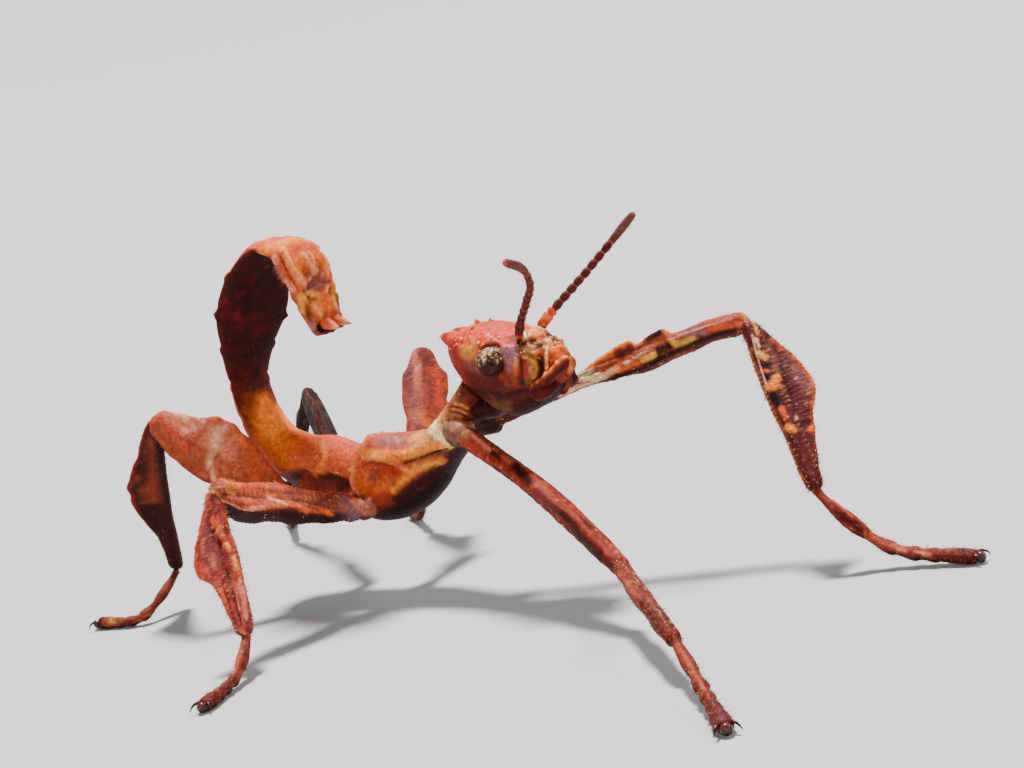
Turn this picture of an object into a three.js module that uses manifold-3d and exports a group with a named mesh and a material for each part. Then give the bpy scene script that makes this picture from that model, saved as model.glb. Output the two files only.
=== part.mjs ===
// Young spiny leaf insect (a stick insect nymph), a still life-size model.
// Millimetres, +Z up. The head faces -Y, the insect's right side is -X, the floor is z = 0.
// Every solid is a closed loft: rings of points laid along a smooth path, with a flat fan at each end.
import * as THREE from 'three';
import { mergeVertices } from 'three/addons/utils/BufferGeometryUtils.js';
import Module from 'manifold-3d';

const wasm = await Module();
wasm.setup();

const GAP = 0.06;            // clear gap between neighbouring solids
const FLOOR = 0;             // height of the surface the feet rest on
const BODY_SIDES = 16;       // points round the body
const LEG_SIDES = 8;         // points round a leg piece
const FEELER_SIDES = 8;      // points round a feeler

// Trunk, from the neck inside the head to the tip of the curled abdomen. Each row is a ring:
// y, z of the centre, half width, height above the centre, height below it, how much wider it is
// at the bottom than at the middle, and how far it is turned about the path, in degrees.
const TRUNK = {
  neck:        [-6.30, 8.00, 0.70, 0.62, 0.75, 0.0, 0],
  pronotum:    [-5.45, 7.20, 0.88, 0.66, 0.85, 0.0, 0],
  prothorax:   [-4.50, 6.40, 0.98, 0.70, 1.00, 0.0, 0],
  collar:      [-3.60, 5.82, 0.98, 0.82, 1.20, 0.0, 0],
  shoulder:    [-2.60, 5.40, 1.08, 1.08, 1.65, 0.10, 0],
  mesothorax:  [-1.20, 5.00, 1.24, 1.46, 2.12, 0.18, 0],
  middle_hips: [0.00, 4.85, 1.32, 1.58, 2.14, 0.18, 0],
  waist:       [0.95, 4.95, 1.14, 1.12, 1.72, 0.12, 0],
  metathorax:  [2.20, 5.15, 1.20, 1.34, 1.45, 0.12, 0],
  hind_hips:   [3.55, 5.45, 1.20, 1.16, 1.35, 0.10, 0],
  abdomen_2:   [5.15, 6.30, 1.06, 0.85, 1.05, 0.0, 0],
  abdomen_3:   [6.00, 7.75, 1.00, 0.60, 0.75, 0.0, 3],
  abdomen_4:   [6.12, 9.25, 1.00, 0.46, 0.52, 0.0, 10],
  abdomen_5:   [5.62, 10.75, 1.26, 0.42, 0.46, 0.0, 22],
  abdomen_6:   [4.90, 12.05, 1.52, 0.40, 0.46, 0.0, 30],
  abdomen_7:   [3.88, 13.48, 1.38, 0.40, 0.46, 0.0, 24],
  abdomen_8:   [2.65, 14.42, 1.22, 0.40, 0.46, 0.0, 10],
  abdomen_9:   [1.40, 13.85, 1.24, 0.42, 0.46, 0.0, 2],
  abdomen_10:  [1.04, 12.20, 1.18, 0.40, 0.42, 0.0, 0],
  tip:         [0.72, 10.85, 0.84, 0.30, 0.32, 0.0, 0],
};
const TRUNK_ROWS = Object.values(TRUNK);
const TRUNK_NAMES = Object.keys(TRUNK);

// The trunk's nodes: name, first ring, last ring, number of lofted steps, colour.
const TRUNK_NODES = [
  ['prothorax', 'neck', 'collar', 6, '#8f5a3e'],
  ['mesothorax', 'collar', 'waist', 9, '#b0552b'],
  ['metathorax', 'waist', 'hind_hips', 6, '#b4552f'],
  ['abdomen_base', 'hind_hips', 'abdomen_3', 6, '#c4602a'],
  ['abdomen_lower', 'abdomen_3', 'abdomen_5', 6, '#7a2f1c'],
  ['abdomen_middle', 'abdomen_5', 'abdomen_7', 7, '#7a2f1c'],
  ['abdomen_upper', 'abdomen_7', 'abdomen_9', 7, '#c2623a'],
];

// Head rings: y, top z, bottom z, half width. The crown rises at the back.
const HEAD = {
  nape:     [-5.80, 9.80, 9.10, 0.50],
  crown:    [-6.15, 10.18, 8.55, 0.95],
  brow:     [-7.00, 10.46, 7.55, 1.26],
  eyes:     [-8.20, 10.48, 6.80, 1.36],
  antennae: [-9.10, 10.24, 6.95, 1.34],
  face:     [-9.88, 9.80, 7.25, 1.14],
  muzzle:   [-10.42, 9.24, 7.65, 0.84],
  mouth:    [-10.68, 8.82, 8.05, 0.48],
};
const EYE_CENTRE = [1.22, -8.52, 9.22];
const EYE_RADIUS = 0.60;
const EYE_BULGE = 0.90;      // depth of the eye as a share of its radius
const EYE_TURN = 0.50;       // the eye looks this far forward of square to the side, radians

const HEAD_STEPS = 12;       // lofted lengths of the head
const HEAD_MIDDLE = 0.56;    // height of a head ring's widest place, as a share of the ring

// Horn and larger warts at the back of the crown, on the left side: foot, tip, radius, sides.
const CROWN_SPIKES = [
  { foot: [0.36, -6.60, 9.70], tip: [0.34, -5.22, 10.26], radius: 0.42, sides: 6 },
  { foot: [0.50, -6.50, 10.10], tip: [0.55, -6.15, 10.62], radius: 0.20, sides: 5 },
  { foot: [0.48, -7.10, 10.20], tip: [0.50, -6.95, 10.78], radius: 0.18, sides: 5 },
];

// Mouth: the upper lip, and the two palps of the left side.
const LIP_PATH = [[0, -10.30, 8.85], [0, -10.62, 8.35], [0, -10.42, 7.85]];
const LIP = [[0, 0.20, 0.24, 0.50, 0.50], [0.5, 0.24, 0.26, 0.55, 0.55], [1, 0.16, 0.18, 0.34, 0.34]];
const PALPS = [
  { path: [[0.98, -9.40, 7.75], [0.96, -10.15, 8.12], [0.38, -10.92, 8.70]], radius: 0.24 },
  { path: [[0.45, -9.60, 7.42], [0.48, -10.15, 7.70], [0.30, -10.55, 8.05]], radius: 0.25 },
];

// Short pointed feeler at the end of the abdomen, on the left side, and the blunt end beyond the last ring.
const CERCUS = { foot: [0.26, 0.75, 11.55], tip: [0.34, -0.15, 11.22], radius: 0.24, sides: 5 };
const TAIL_END = { shift: [0, -0.04, -0.16], scale: 0.6 };

// Feelers: points along the left one and the right one, and their thickness.
const FEELER_LEFT = [[0.60, -9.50, 9.86], [1.02, -9.80, 10.28], [2.48, -11.06, 11.50], [4.06, -12.44, 13.10]];
const FEELER_RIGHT = [[-0.55, -9.42, 9.86], [-0.92, -10.02, 10.50], [-1.42, -10.98, 11.33],
  [-1.95, -11.75, 11.95], [-2.83, -12.30, 12.72], [-3.70, -12.30, 13.16]];
const FEELER_RADIUS = 0.24;
const SCAPE_RADIUS = 0.28;   // the thick first joint of a feeler

// Legs: joints in order hip, knee, ankle, a point along the foot, tip of the foot. bow is how far
// the middle of the thigh stands off the straight line; blade_* point to the outer edge of the
// thigh and of the shin.
const LEGS = {
  front_right: { kind: 'front', hand: -1, hip: [-0.90, -5.86, 6.40], knee: [-4.30, -14.90, 2.15],
    ankle: [-8.90, -20.20, 1.35], instep: [-10.85, -22.40, 0.60], toe: [-12.70, -24.40, 0.0],
    bow: [0.27, 0.0, 0.14], blade_thigh: [-0.73, -0.06, 0.68], blade_shin: [-0.73, 0.10, 0.66] },
  front_left: { kind: 'front', hand: 1, hip: [0.90, -5.86, 6.40], knee: [4.30, -16.00, 8.50],
    ankle: [1.50, -19.40, 2.90], instep: [1.70, -21.75, 0.72], toe: [2.00, -24.90, 0.0],
    bow: [0.0, 0.0, 0.15], blade_thigh: [0.03, 0.21, 0.97], blade_shin: [0.60, -0.64, 0.09] },
  middle_right: { kind: 'middle', hand: -1, hip: [-1.26, 0.0, 3.85], knee: [-6.70, 2.10, 6.40],
    ankle: [-9.10, -0.40, 1.40], instep: [-10.50, -1.00, 0.42], toe: [-12.90, -1.70, 0.0],
    bow: [0.0, 0.0, 0.0], blade_thigh: [-0.50, -0.80, -0.40], blade_shin: [-0.61, 0.67, -0.04] },
  middle_left: { kind: 'middle', hand: 1, hip: [1.26, 0.0, 3.85], knee: [6.10, 2.00, 8.35],
    ankle: [7.40, 5.20, 2.20], instep: [8.25, 6.60, 0.55], toe: [9.40, 8.20, 0.0],
    bow: [0.55, 0.0, 0.0], blade_thigh: [0.58, -0.73, -0.36], blade_shin: [0.80, -0.30, 0.10] },
  hind_right: { kind: 'hind', hand: -1, hip: [-1.42, 3.43, 3.85], knee: [-3.60, 8.30, 8.60],
    ankle: [-2.20, 11.20, 1.70], instep: [-4.40, 11.50, 0.36], toe: [-4.90, 13.90, 0.0],
    bow: [0.0, 0.0, 0.0], blade_thigh: [0.56, -0.44, 0.70], blade_shin: [-0.54, 0.64, 0.16] },
  hind_left: { kind: 'hind', hand: 1, hip: [1.42, 3.43, 3.85], knee: [5.20, 8.50, 7.10],
    ankle: [6.50, 13.00, 1.80], instep: [7.60, 14.40, 0.50], toe: [9.00, 16.00, 0.0],
    bow: [0.0, 0.0, 0.0], blade_thigh: [-0.56, -0.44, 0.70], blade_shin: [0.54, 0.64, 0.16] },
};

// Leg shapes. Each row: place along the piece from 0 to 1, reach of the outer edge, reach of the
// inner edge, half thickness above, half thickness below. The leafy lobes are the wide rows.
const THIGH = {
  front: [[0, 0.28, 0.28, 0.28, 0.28], [0.32, 0.30, 0.22, 0.34, 0.34], [0.46, 0.70, 0.28, 0.40, 0.40],
    [0.60, 0.82, 0.52, 0.42, 0.42], [0.72, 0.74, 0.38, 0.40, 0.40], [0.86, 0.62, 0.26, 0.38, 0.38],
    [1, 0.46, 0.36, 0.32, 0.32]],
  middle: [[0, 0.42, 0.42, 0.34, 0.44], [0.25, 0.86, 0.70, 0.38, 0.82], [0.55, 1.28, 0.88, 0.40, 1.02],
    [0.80, 1.16, 0.90, 0.40, 1.04], [0.92, 0.78, 0.66, 0.38, 0.86], [1, 0.46, 0.46, 0.34, 0.36]],
  hind: [[0, 0.42, 0.42, 0.34, 0.34], [0.2, 0.70, 0.62, 0.42, 0.42], [0.42, 1.25, 1.00, 0.44, 0.44],
    [0.62, 1.55, 1.12, 0.44, 0.44], [0.82, 0.90, 0.90, 0.40, 0.40], [1, 0.46, 0.46, 0.34, 0.34]],
};
const SHIN = {
  front: [[0, 0.34, 0.30, 0.30, 0.30], [0.12, 0.66, 0.26, 0.28, 0.28], [0.35, 1.38, 0.34, 0.28, 0.28],
    [0.48, 1.36, 0.32, 0.28, 0.28], [0.64, 0.92, 0.28, 0.27, 0.27], [0.85, 0.50, 0.28, 0.27, 0.27],
    [1, 0.30, 0.28, 0.27, 0.27]],
  middle: [[0, 0.34, 0.30, 0.30, 0.30], [0.15, 0.66, 0.26, 0.28, 0.28], [0.33, 1.12, 0.27, 0.28, 0.28],
    [0.50, 1.34, 0.38, 0.28, 0.28], [0.66, 0.74, 0.38, 0.27, 0.27], [0.86, 0.48, 0.32, 0.27, 0.27],
    [1, 0.30, 0.28, 0.27, 0.27]],
  hind: [[0, 0.36, 0.30, 0.30, 0.30], [0.25, 1.05, 0.20, 0.28, 0.28], [0.48, 1.60, 0.16, 0.28, 0.28],
    [0.62, 1.20, 0.16, 0.28, 0.28], [0.76, 0.68, 0.22, 0.27, 0.27], [1, 0.30, 0.28, 0.27, 0.27]],
};
const HIP_RADIUS = { front: 0.48, middle: 0.62, hind: 0.58 };
const KNEE_REACH = 0.18;     // the thigh runs past the middle of the knee by this much
const FOOT = [[0, 0.26, 0.26, 0.26, 0.26], [0.5, 0.26, 0.28, 0.27, 0.27], [0.82, 0.27, 0.30, 0.30, 0.30],
  [1, 0.26, 0.30, 0.34, 0.34]];
const CLAW = { length: 0.5, radius: 0.16, back: 0.3, apart: 0.12, spread: 0.28, tip: 0.12, sides: 5 };
const FOOT_LIFT = 0.22;      // height of the middle of the foot's tip above the floor

// Hips: how far inside the body the stub starts, as [share of x, y, z], and how far it reaches out.
const HIP_INNER = { front: [0.45, 0.85, 0.15], middle: [0.45, 0.10, 0.35], hind: [0.45, 0.10, 0.35] };
const HIP_REACH = 0.15;
const HIP_TAPER = 0.8;
const THINNING = 0.008;      // a solid is drawn with as few triangles as this deviation allows
const MOUTH_THINNING = 0.03;

const vec = (point) => new THREE.Vector3(point[0], point[1], point[2]);

/** Value of one column of a table at place s, by a smooth curve through its rows. */
function follow(table, s, column) {
  const last = table.length - 1;
  let i = 0;
  while (i < last - 1 && s > table[i + 1][0]) i += 1;
  const slope = (k) => {
    const a = table[Math.max(k - 1, 0)];
    const b = table[Math.min(k + 1, last)];
    return (b[column] - a[column]) / (b[0] - a[0]);
  };
  const span = table[i + 1][0] - table[i][0];
  const t = (s - table[i][0]) / span;
  const t2 = t * t;
  const t3 = t2 * t;
  return (2 * t3 - 3 * t2 + 1) * table[i][column] + (t3 - 2 * t2 + t) * span * slope(i)
    + (3 * t2 - 2 * t3) * table[i + 1][column] + (t3 - t2) * span * slope(i + 1);
}

/** A closed geometry from rings of points, each ring with the same number, and a fan at each end. */
function loft(rings) {
  const sides = rings[0].length;
  const points = rings.flat();
  const faces = [];
  for (let i = 0; i < rings.length - 1; i += 1) {
    for (let j = 0; j < sides; j += 1) {
      const a = i * sides + j;
      const b = i * sides + ((j + 1) % sides);
      faces.push(a, b, a + sides, b, b + sides, a + sides);
    }
  }
  for (const [ring, flip] of [[0, true], [rings.length - 1, false]]) {
    const centre = new THREE.Vector3();
    rings[ring].forEach((point) => centre.add(point));
    const hub = points.push(centre.divideScalar(sides)) - 1;
    for (let j = 0; j < sides; j += 1) {
      const a = ring * sides + j;
      const b = ring * sides + ((j + 1) % sides);
      faces.push(...(flip ? [hub, b, a] : [hub, a, b]));
    }
  }
  const geometry = new THREE.BufferGeometry();
  geometry.setAttribute('position', new THREE.Float32BufferAttribute(points.flatMap((p) => p.toArray()), 3));
  geometry.setIndex(faces);
  return outward(geometry);
}

/** Turns the faces over where the volume they enclose comes out negative. */
function outward(geometry) {
  const p = geometry.attributes.position;
  const index = geometry.index;
  const corner = (k) => new THREE.Vector3().fromBufferAttribute(p, index.getX(k));
  let volume = 0;
  for (let k = 0; k < index.count; k += 3) {
    volume += corner(k).dot(corner(k + 1).cross(corner(k + 2)));
  }
  if (volume < 0) {
    for (let k = 0; k < index.count; k += 3) {
      const b = index.getX(k + 1);
      index.setX(k + 1, index.getX(k + 2));
      index.setX(k + 2, b);
    }
  }
  return geometry;
}

/** One rounded ring: reach to each side, reach up and down, exponent of the outline. */
function ring(centre, side, up, [right, left, above, below], exponent, sides) {
  const points = [];
  for (let j = 0; j < sides; j += 1) {
    const angle = (2 * Math.PI * j) / sides;
    const c = Math.cos(angle);
    const s = Math.sin(angle);
    const x = (c > 0 ? right : left) * Math.sign(c) * Math.abs(c) ** (2 / exponent);
    const y = (s > 0 ? above : below) * Math.sign(s) * Math.abs(s) ** (2 / exponent);
    points.push(centre.clone().addScaledVector(side, x).addScaledVector(up, y));
  }
  return points;
}

/** The trunk's ring at row number u (a fraction lies between two rows), grown by the given amount. */
function trunkRing(u, grow) {
  const path = TRUNK_ROWS.map((row, i) => [i, ...row]);
  const at = (column) => follow(path, u, column);
  const step = 0.02;
  const before = Math.max(u - step, 0);
  const after = Math.min(u + step, TRUNK_ROWS.length - 1);
  const way = new THREE.Vector3(0, follow(path, after, 1) - follow(path, before, 1),
    follow(path, after, 2) - follow(path, before, 2)).normalize();
  const turn = THREE.MathUtils.degToRad(at(7));
  const level = new THREE.Vector3(1, 0, 0);
  const side = level.clone().multiplyScalar(Math.cos(turn)).addScaledVector(level.clone().cross(way), Math.sin(turn));
  const up = side.clone().cross(way).normalize();
  const centre = new THREE.Vector3(0, at(1), at(2));
  const half = at(3) + grow;
  const points = ring(centre, side, up, [half, half, at(4) + grow, at(5) + grow], 2, BODY_SIDES);
  const widening = at(6);
  return points.map((point) => {
    const offset = point.clone().sub(centre);
    const depth = -offset.dot(up) / at(5);
    return point.addScaledVector(side, offset.dot(side) * widening * depth);
  });
}

/** A length of trunk between two rows, with flat ends half a gap inside them. */
function trunk(from, to, steps, grow = 0) {
  const first = TRUNK_NAMES.indexOf(from);
  const last = TRUNK_NAMES.indexOf(to);
  const inset = GAP / 2 / 1.5;
  const rings = [];
  for (let i = 0; i <= steps; i += 1) {
    rings.push(trunkRing(THREE.MathUtils.lerp(first + inset, last - inset, i / steps), grow));
  }
  return loft(rings);
}

/** The end of the abdomen: the last ring closes in a blunt tip. */
function trunkTip(from) {
  const first = TRUNK_NAMES.indexOf(from);
  const last = TRUNK_ROWS.length - 1;
  const rings = [];
  for (const share of [0.02, 0.3, 0.6, 0.85, 1]) {
    rings.push(trunkRing(THREE.MathUtils.lerp(first, last, share), 0));
  }
  const end = rings[rings.length - 1];
  const centre = new THREE.Vector3(0, TRUNK.tip[0], TRUNK.tip[1]);
  const shift = vec(TAIL_END.shift);
  rings.push(end.map((point) => point.clone().sub(centre).multiplyScalar(TAIL_END.scale).add(centre).add(shift)));
  return loft(rings);
}

/** Smooth path through points, as a function of the place from 0 to 1. */
function route(points) {
  return new THREE.CatmullRomCurve3(points.map(vec), false, 'centripetal');
}

/** A leg or feeler piece along a path. Shape rows as in THIGH; the ends are rounded over `round`. */
function limb(points, blade, shape, exponent, steps, sides, { round = 0.3, grow = 0, hand = 1 } = {}) {
  const path = route(points);
  const length = path.getLength();
  const places = [0, 0.3];
  const stations = [
    ...places.map((k) => k * round),
    ...Array.from({ length: steps }, (_, i) => THREE.MathUtils.lerp(round, length - round, i / (steps - 1))),
    ...places.map((k) => length - k * round).reverse(),
  ];
  const rings = stations.map((station) => {
    const inside = Math.min(station, length - station);
    const k = Math.min(inside / round, 1);
    const taper = Math.max(Math.sqrt(1 - (1 - k) ** 2), 0.45);
    const s = THREE.MathUtils.clamp(station / length, 0, 1);
    const way = path.getTangentAt(s);
    const up = vec(blade).addScaledVector(way, -vec(blade).dot(way)).normalize();
    const side = up.clone().cross(way).multiplyScalar(hand).normalize();
    const reach = [3, 4, 1, 2].map((column) => follow(shape, s, column) * taper + grow);
    return ring(path.getPointAt(s), side, up, reach, exponent, sides);
  });
  return loft(rings);
}

/** Manifold solid of a geometry. */
function solid(geometry) {
  const bare = new THREE.BufferGeometry();
  bare.setAttribute('position', geometry.attributes.position.clone());
  bare.setIndex(geometry.index ? geometry.index.clone() : null);
  const merged = mergeVertices(bare, 1e-4);
  const mesh = new wasm.Mesh({
    numProp: 3,
    vertProperties: new Float32Array(merged.attributes.position.array),
    triVerts: new Uint32Array(merged.index.array),
  });
  return new wasm.Manifold(mesh);
}

/** Geometry of the largest body of a manifold solid, thinned to within a tolerance. */
function geometryOf(body, tolerance = THINNING) {
  const pieces = body.decompose();
  pieces.sort((a, b) => b.volume() - a.volume());
  const mesh = pieces[0].simplify(tolerance).getMesh();
  const geometry = new THREE.BufferGeometry();
  geometry.setAttribute('position', new THREE.BufferAttribute(new Float32Array(mesh.vertProperties), 3));
  geometry.setIndex(new THREE.BufferAttribute(new Uint32Array(mesh.triVerts), 1));
  return geometry;
}

/** A cone whose foot is sunk under the surface it grows from. */
function spike({ foot, tip, radius, sides }) {
  const cone = new THREE.ConeGeometry(radius, 1, sides, 1);
  cone.deleteAttribute('normal');
  cone.deleteAttribute('uv');
  const way = vec(tip).sub(vec(foot));
  cone.scale(1, way.length(), 1);
  cone.applyQuaternion(new THREE.Quaternion().setFromUnitVectors(new THREE.Vector3(0, 1, 0), way.clone().normalize()));
  const middle = vec(foot).add(vec(tip)).multiplyScalar(0.5);
  cone.translate(middle.x, middle.y, middle.z);
  return solid(cone);
}

/** A point of the left side, or the same point on the right side. */
function onSide([x, y, z], side) {
  return [side * x, y, z];
}

/** Head ring at row number u. */
function headRing(u, grow) {
  const rows = Object.values(HEAD).map((row, i) => [i, ...row]);
  const top = follow(rows, u, 2);
  const bottom = follow(rows, u, 3);
  const middle = THREE.MathUtils.lerp(bottom, top, HEAD_MIDDLE);
  const centre = new THREE.Vector3(0, follow(rows, u, 1), middle);
  const half = follow(rows, u, 4) + grow;
  return ring(centre, new THREE.Vector3(1, 0, 0), new THREE.Vector3(0, 0, 1),
    [half, half, top - middle + grow, middle - bottom + grow], 2.3, BODY_SIDES + 2);
}

/** The skull without its horns, grown by the given amount. */
function skull(grow = 0) {
  const rings = [];
  const last = Object.keys(HEAD).length - 1;
  for (let i = 0; i <= HEAD_STEPS; i += 1) {
    rings.push(headRing((i / HEAD_STEPS) * last, grow));
  }
  return solid(loft(rings));
}

/** Head: the skull with the horn at the back of the crown and the larger warts. */
function head(cuts) {
  let body = skull();
  for (const side of [-1, 1]) {
    for (const { foot, tip, radius, sides } of CROWN_SPIKES) {
      body = body.add(spike({ foot: onSide(foot, side), tip: onSide(tip, side), radius, sides }));
    }
  }
  for (const cut of cuts) {
    body = body.subtract(cut);
  }
  return geometryOf(body);
}

/** Mouthparts: the upper lip with the palps lying along the mouth. */
function mouthparts(cut) {
  let body = solid(limb(LIP_PATH, [0, -1, 0.2], LIP, 2.4, 3, 8));
  for (const side of [-1, 1]) {
    for (const { path, radius } of PALPS) {
      const even = [[0, radius, radius, radius, radius], [1, radius, radius, radius, radius]];
      const points = path.map((point) => onSide(point, side));
      body = body.add(solid(limb(points, [0, -1, 1], even, 2, 4, 6)));
    }
  }
  return geometryOf(body.subtract(cut), MOUTH_THINNING);
}

/** Eye: a flattened ball that looks out to the side. */
function eye(side, grow = 0) {
  const ball = new THREE.SphereGeometry(EYE_RADIUS + grow, 12, 8);
  ball.deleteAttribute('normal');
  ball.deleteAttribute('uv');
  ball.scale(EYE_BULGE, 1, 1);
  ball.rotateZ(side * -EYE_TURN);
  ball.translate(side * EYE_CENTRE[0], EYE_CENTRE[1], EYE_CENTRE[2]);
  return mergeVertices(ball, 1e-4);
}

/** Feeler: a thick first joint, then an even whip. */
function feeler(points, grow = 0) {
  const even = (s, radius) => [s, radius, radius, radius, radius];
  const shape = [even(0, 0.25), even(0.1, SCAPE_RADIUS), even(0.2, FEELER_RADIUS), even(1, FEELER_RADIUS)];
  return limb(points, [0, 0, 1], shape, 2, 10, FEELER_SIDES, { round: 0.18, grow });
}

/** Hip: a short stout stub from the body to the thigh. */
function hip(leg, grow = 0) {
  const joint = vec(leg.hip);
  const [share, back, up] = HIP_INNER[leg.kind];
  const inner = new THREE.Vector3(joint.x * share, joint.y + back, joint.z + up);
  const way = vec(leg.knee).sub(joint).normalize();
  const outer = joint.clone().addScaledVector(way, HIP_REACH);
  const wide = HIP_RADIUS[leg.kind];
  const narrow = wide * HIP_TAPER;
  const stub = [[0, wide, wide, wide, wide], [1, narrow, narrow, narrow, narrow]];
  return limb([inner.toArray(), leg.hip, outer.toArray()], [0, 0, 1], stub, 2, 3, LEG_SIDES, { round: 0.25, grow });
}

function thigh(leg, grow = 0) {
  const way = vec(leg.knee).sub(vec(leg.hip)).normalize();
  const end = vec(leg.knee).addScaledVector(way, KNEE_REACH).toArray();
  const middle = vec(leg.hip).add(vec(end)).multiplyScalar(0.5).add(vec(leg.bow)).toArray();
  return limb([leg.hip, middle, end], leg.blade_thigh, THIGH[leg.kind], 1.7, 8, LEG_SIDES,
    { round: 0.35, grow, hand: leg.hand });
}

function shin(leg, grow = 0) {
  return limb([leg.knee, leg.ankle], leg.blade_shin, SHIN[leg.kind], 1.7, 8, LEG_SIDES,
    { round: 0.25, grow, hand: leg.hand });
}

/** Foot: five short joints drawn as one tapering length, with the pad and two claws, cut flat at the floor. */
function foot(leg) {
  const [x, y, z] = leg.toe;
  const end = [x, y, z + FOOT_LIFT];
  let body = solid(limb([leg.ankle, leg.instep, end], [0, 0, 1], FOOT, 2, 6, LEG_SIDES, { round: 0.16 }));
  const way = vec(leg.toe).sub(vec(leg.instep)).setZ(0).normalize();
  const across = new THREE.Vector3(-way.y, way.x, 0);
  for (const side of [-1, 1]) {
    const root = vec(end).addScaledVector(way, -CLAW.back).addScaledVector(across, side * CLAW.apart);
    const tip = root.clone().addScaledVector(way, CLAW.length).addScaledVector(across, side * CLAW.spread);
    tip.z = CLAW.tip;
    body = body.add(spike({ foot: root.toArray(), tip: tip.toArray(), radius: CLAW.radius, sides: CLAW.sides }));
  }
  return body.trimByPlane([0, 0, 1], FLOOR);
}

const group = new THREE.Group();

function place(name, geometry, colour, roughness = 0.5) {
  const material = new THREE.MeshStandardMaterial({ color: colour, roughness, metalness: 0 });
  const mesh = new THREE.Mesh(geometry, material);
  mesh.name = name;
  group.add(mesh);
}

for (const [name, from, to, steps, colour] of TRUNK_NODES) {
  place(name, geometryOf(solid(trunk(from, to, steps))), colour);
}
let tail = solid(trunkTip('abdomen_9'));
for (const side of [-1, 1]) {
  tail = tail.add(spike({ ...CERCUS, foot: onSide(CERCUS.foot, side), tip: onSide(CERCUS.tip, side) }));
}
place('abdomen_tip', geometryOf(tail), '#b9542f');

const eyeCuts = [-1, 1].map((side) => solid(eye(side, GAP)));
const feelerCuts = [FEELER_RIGHT, FEELER_LEFT].map((points) => solid(feeler(points, GAP)));
const skullCut = skull(GAP);
place('head', head([...eyeCuts, ...feelerCuts, solid(trunk('neck', 'collar', 6, GAP))]), '#a5402c', 0.4);
place('mouthparts', mouthparts(skullCut), '#b0561f', 0.4);
place('eye_right', eye(-1), '#6f5738', 0.2);
place('eye_left', eye(1), '#6f5738', 0.2);
place('antenna_right', feeler(FEELER_RIGHT), '#57201a');
place('antenna_left', feeler(FEELER_LEFT), '#57201a');

// The trunk nodes the legs stand against.
const trunkCuts = TRUNK_NODES.slice(0, 4).map(([, from, to, steps]) => solid(trunk(from, to, steps, GAP)));
const bodyCuts = [...trunkCuts, skullCut];
const without = (body, cuts) => cuts.reduce((rest, cut) => rest.subtract(cut), body);
for (const [name, leg] of Object.entries(LEGS)) {
  place(`hip_${name}`, geometryOf(without(solid(hip(leg)), bodyCuts)), '#8c4a35');
  place(`thigh_${name}`, geometryOf(without(solid(thigh(leg)), [...bodyCuts, solid(hip(leg, GAP))])), '#93412d');
  place(`shin_${name}`, geometryOf(without(solid(shin(leg)), [solid(thigh(leg, GAP))])), '#7c3226');
  place(`foot_${name}`, geometryOf(without(foot(leg), [solid(shin(leg, GAP))])), '#8a3b22');
}

// The origin goes on the floor under the middle of the whole insect.
const box = new THREE.Box3().setFromObject(group);
const middle = box.getCenter(new THREE.Vector3());
group.position.set(-middle.x, -middle.y, -box.min.z);
group.updateMatrixWorld(true);

export default group;
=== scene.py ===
"""Young spiny leaf insect: a still, life-size model with skin, eyes, feelers, mouthparts, claws and hairs.

Lengths in the tables are millimetres in the insect's own frame: the head faces -Y, its left side is +X and
the floor is z = 0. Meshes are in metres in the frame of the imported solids, which lies SHIFT away from it.
Every surface is a grid: rows run along the piece and columns run round it.
"""

import bpy
import numpy as np
from mathutils import Matrix, Vector
from mathutils.bvhtree import BVHTree


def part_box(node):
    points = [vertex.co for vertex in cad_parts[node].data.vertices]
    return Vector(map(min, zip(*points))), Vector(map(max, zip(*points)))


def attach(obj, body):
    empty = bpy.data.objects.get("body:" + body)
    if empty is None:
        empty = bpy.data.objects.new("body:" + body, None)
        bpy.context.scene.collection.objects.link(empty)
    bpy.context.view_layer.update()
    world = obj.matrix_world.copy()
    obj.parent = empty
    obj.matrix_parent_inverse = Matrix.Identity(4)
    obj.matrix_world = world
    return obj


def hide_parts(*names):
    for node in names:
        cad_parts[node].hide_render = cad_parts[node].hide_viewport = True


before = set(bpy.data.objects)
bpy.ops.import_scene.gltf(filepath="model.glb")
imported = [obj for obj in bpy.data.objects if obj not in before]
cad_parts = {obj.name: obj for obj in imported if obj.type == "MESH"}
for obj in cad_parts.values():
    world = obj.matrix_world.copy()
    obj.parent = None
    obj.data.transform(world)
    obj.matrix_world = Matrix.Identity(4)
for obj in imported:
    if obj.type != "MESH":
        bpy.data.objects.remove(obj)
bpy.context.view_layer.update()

bl_info = {
    "name": "Spiny leaf insect nymph",
    "version": (1, 0, 0),
    "blender": (4, 5, 0),
    "location": "View3D > Sidebar > Insect",
    "description": "Builds a life-size young leaf insect round its packed solids",
    "category": "Object",
}

MM = 0.001
SEED = 20260

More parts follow.
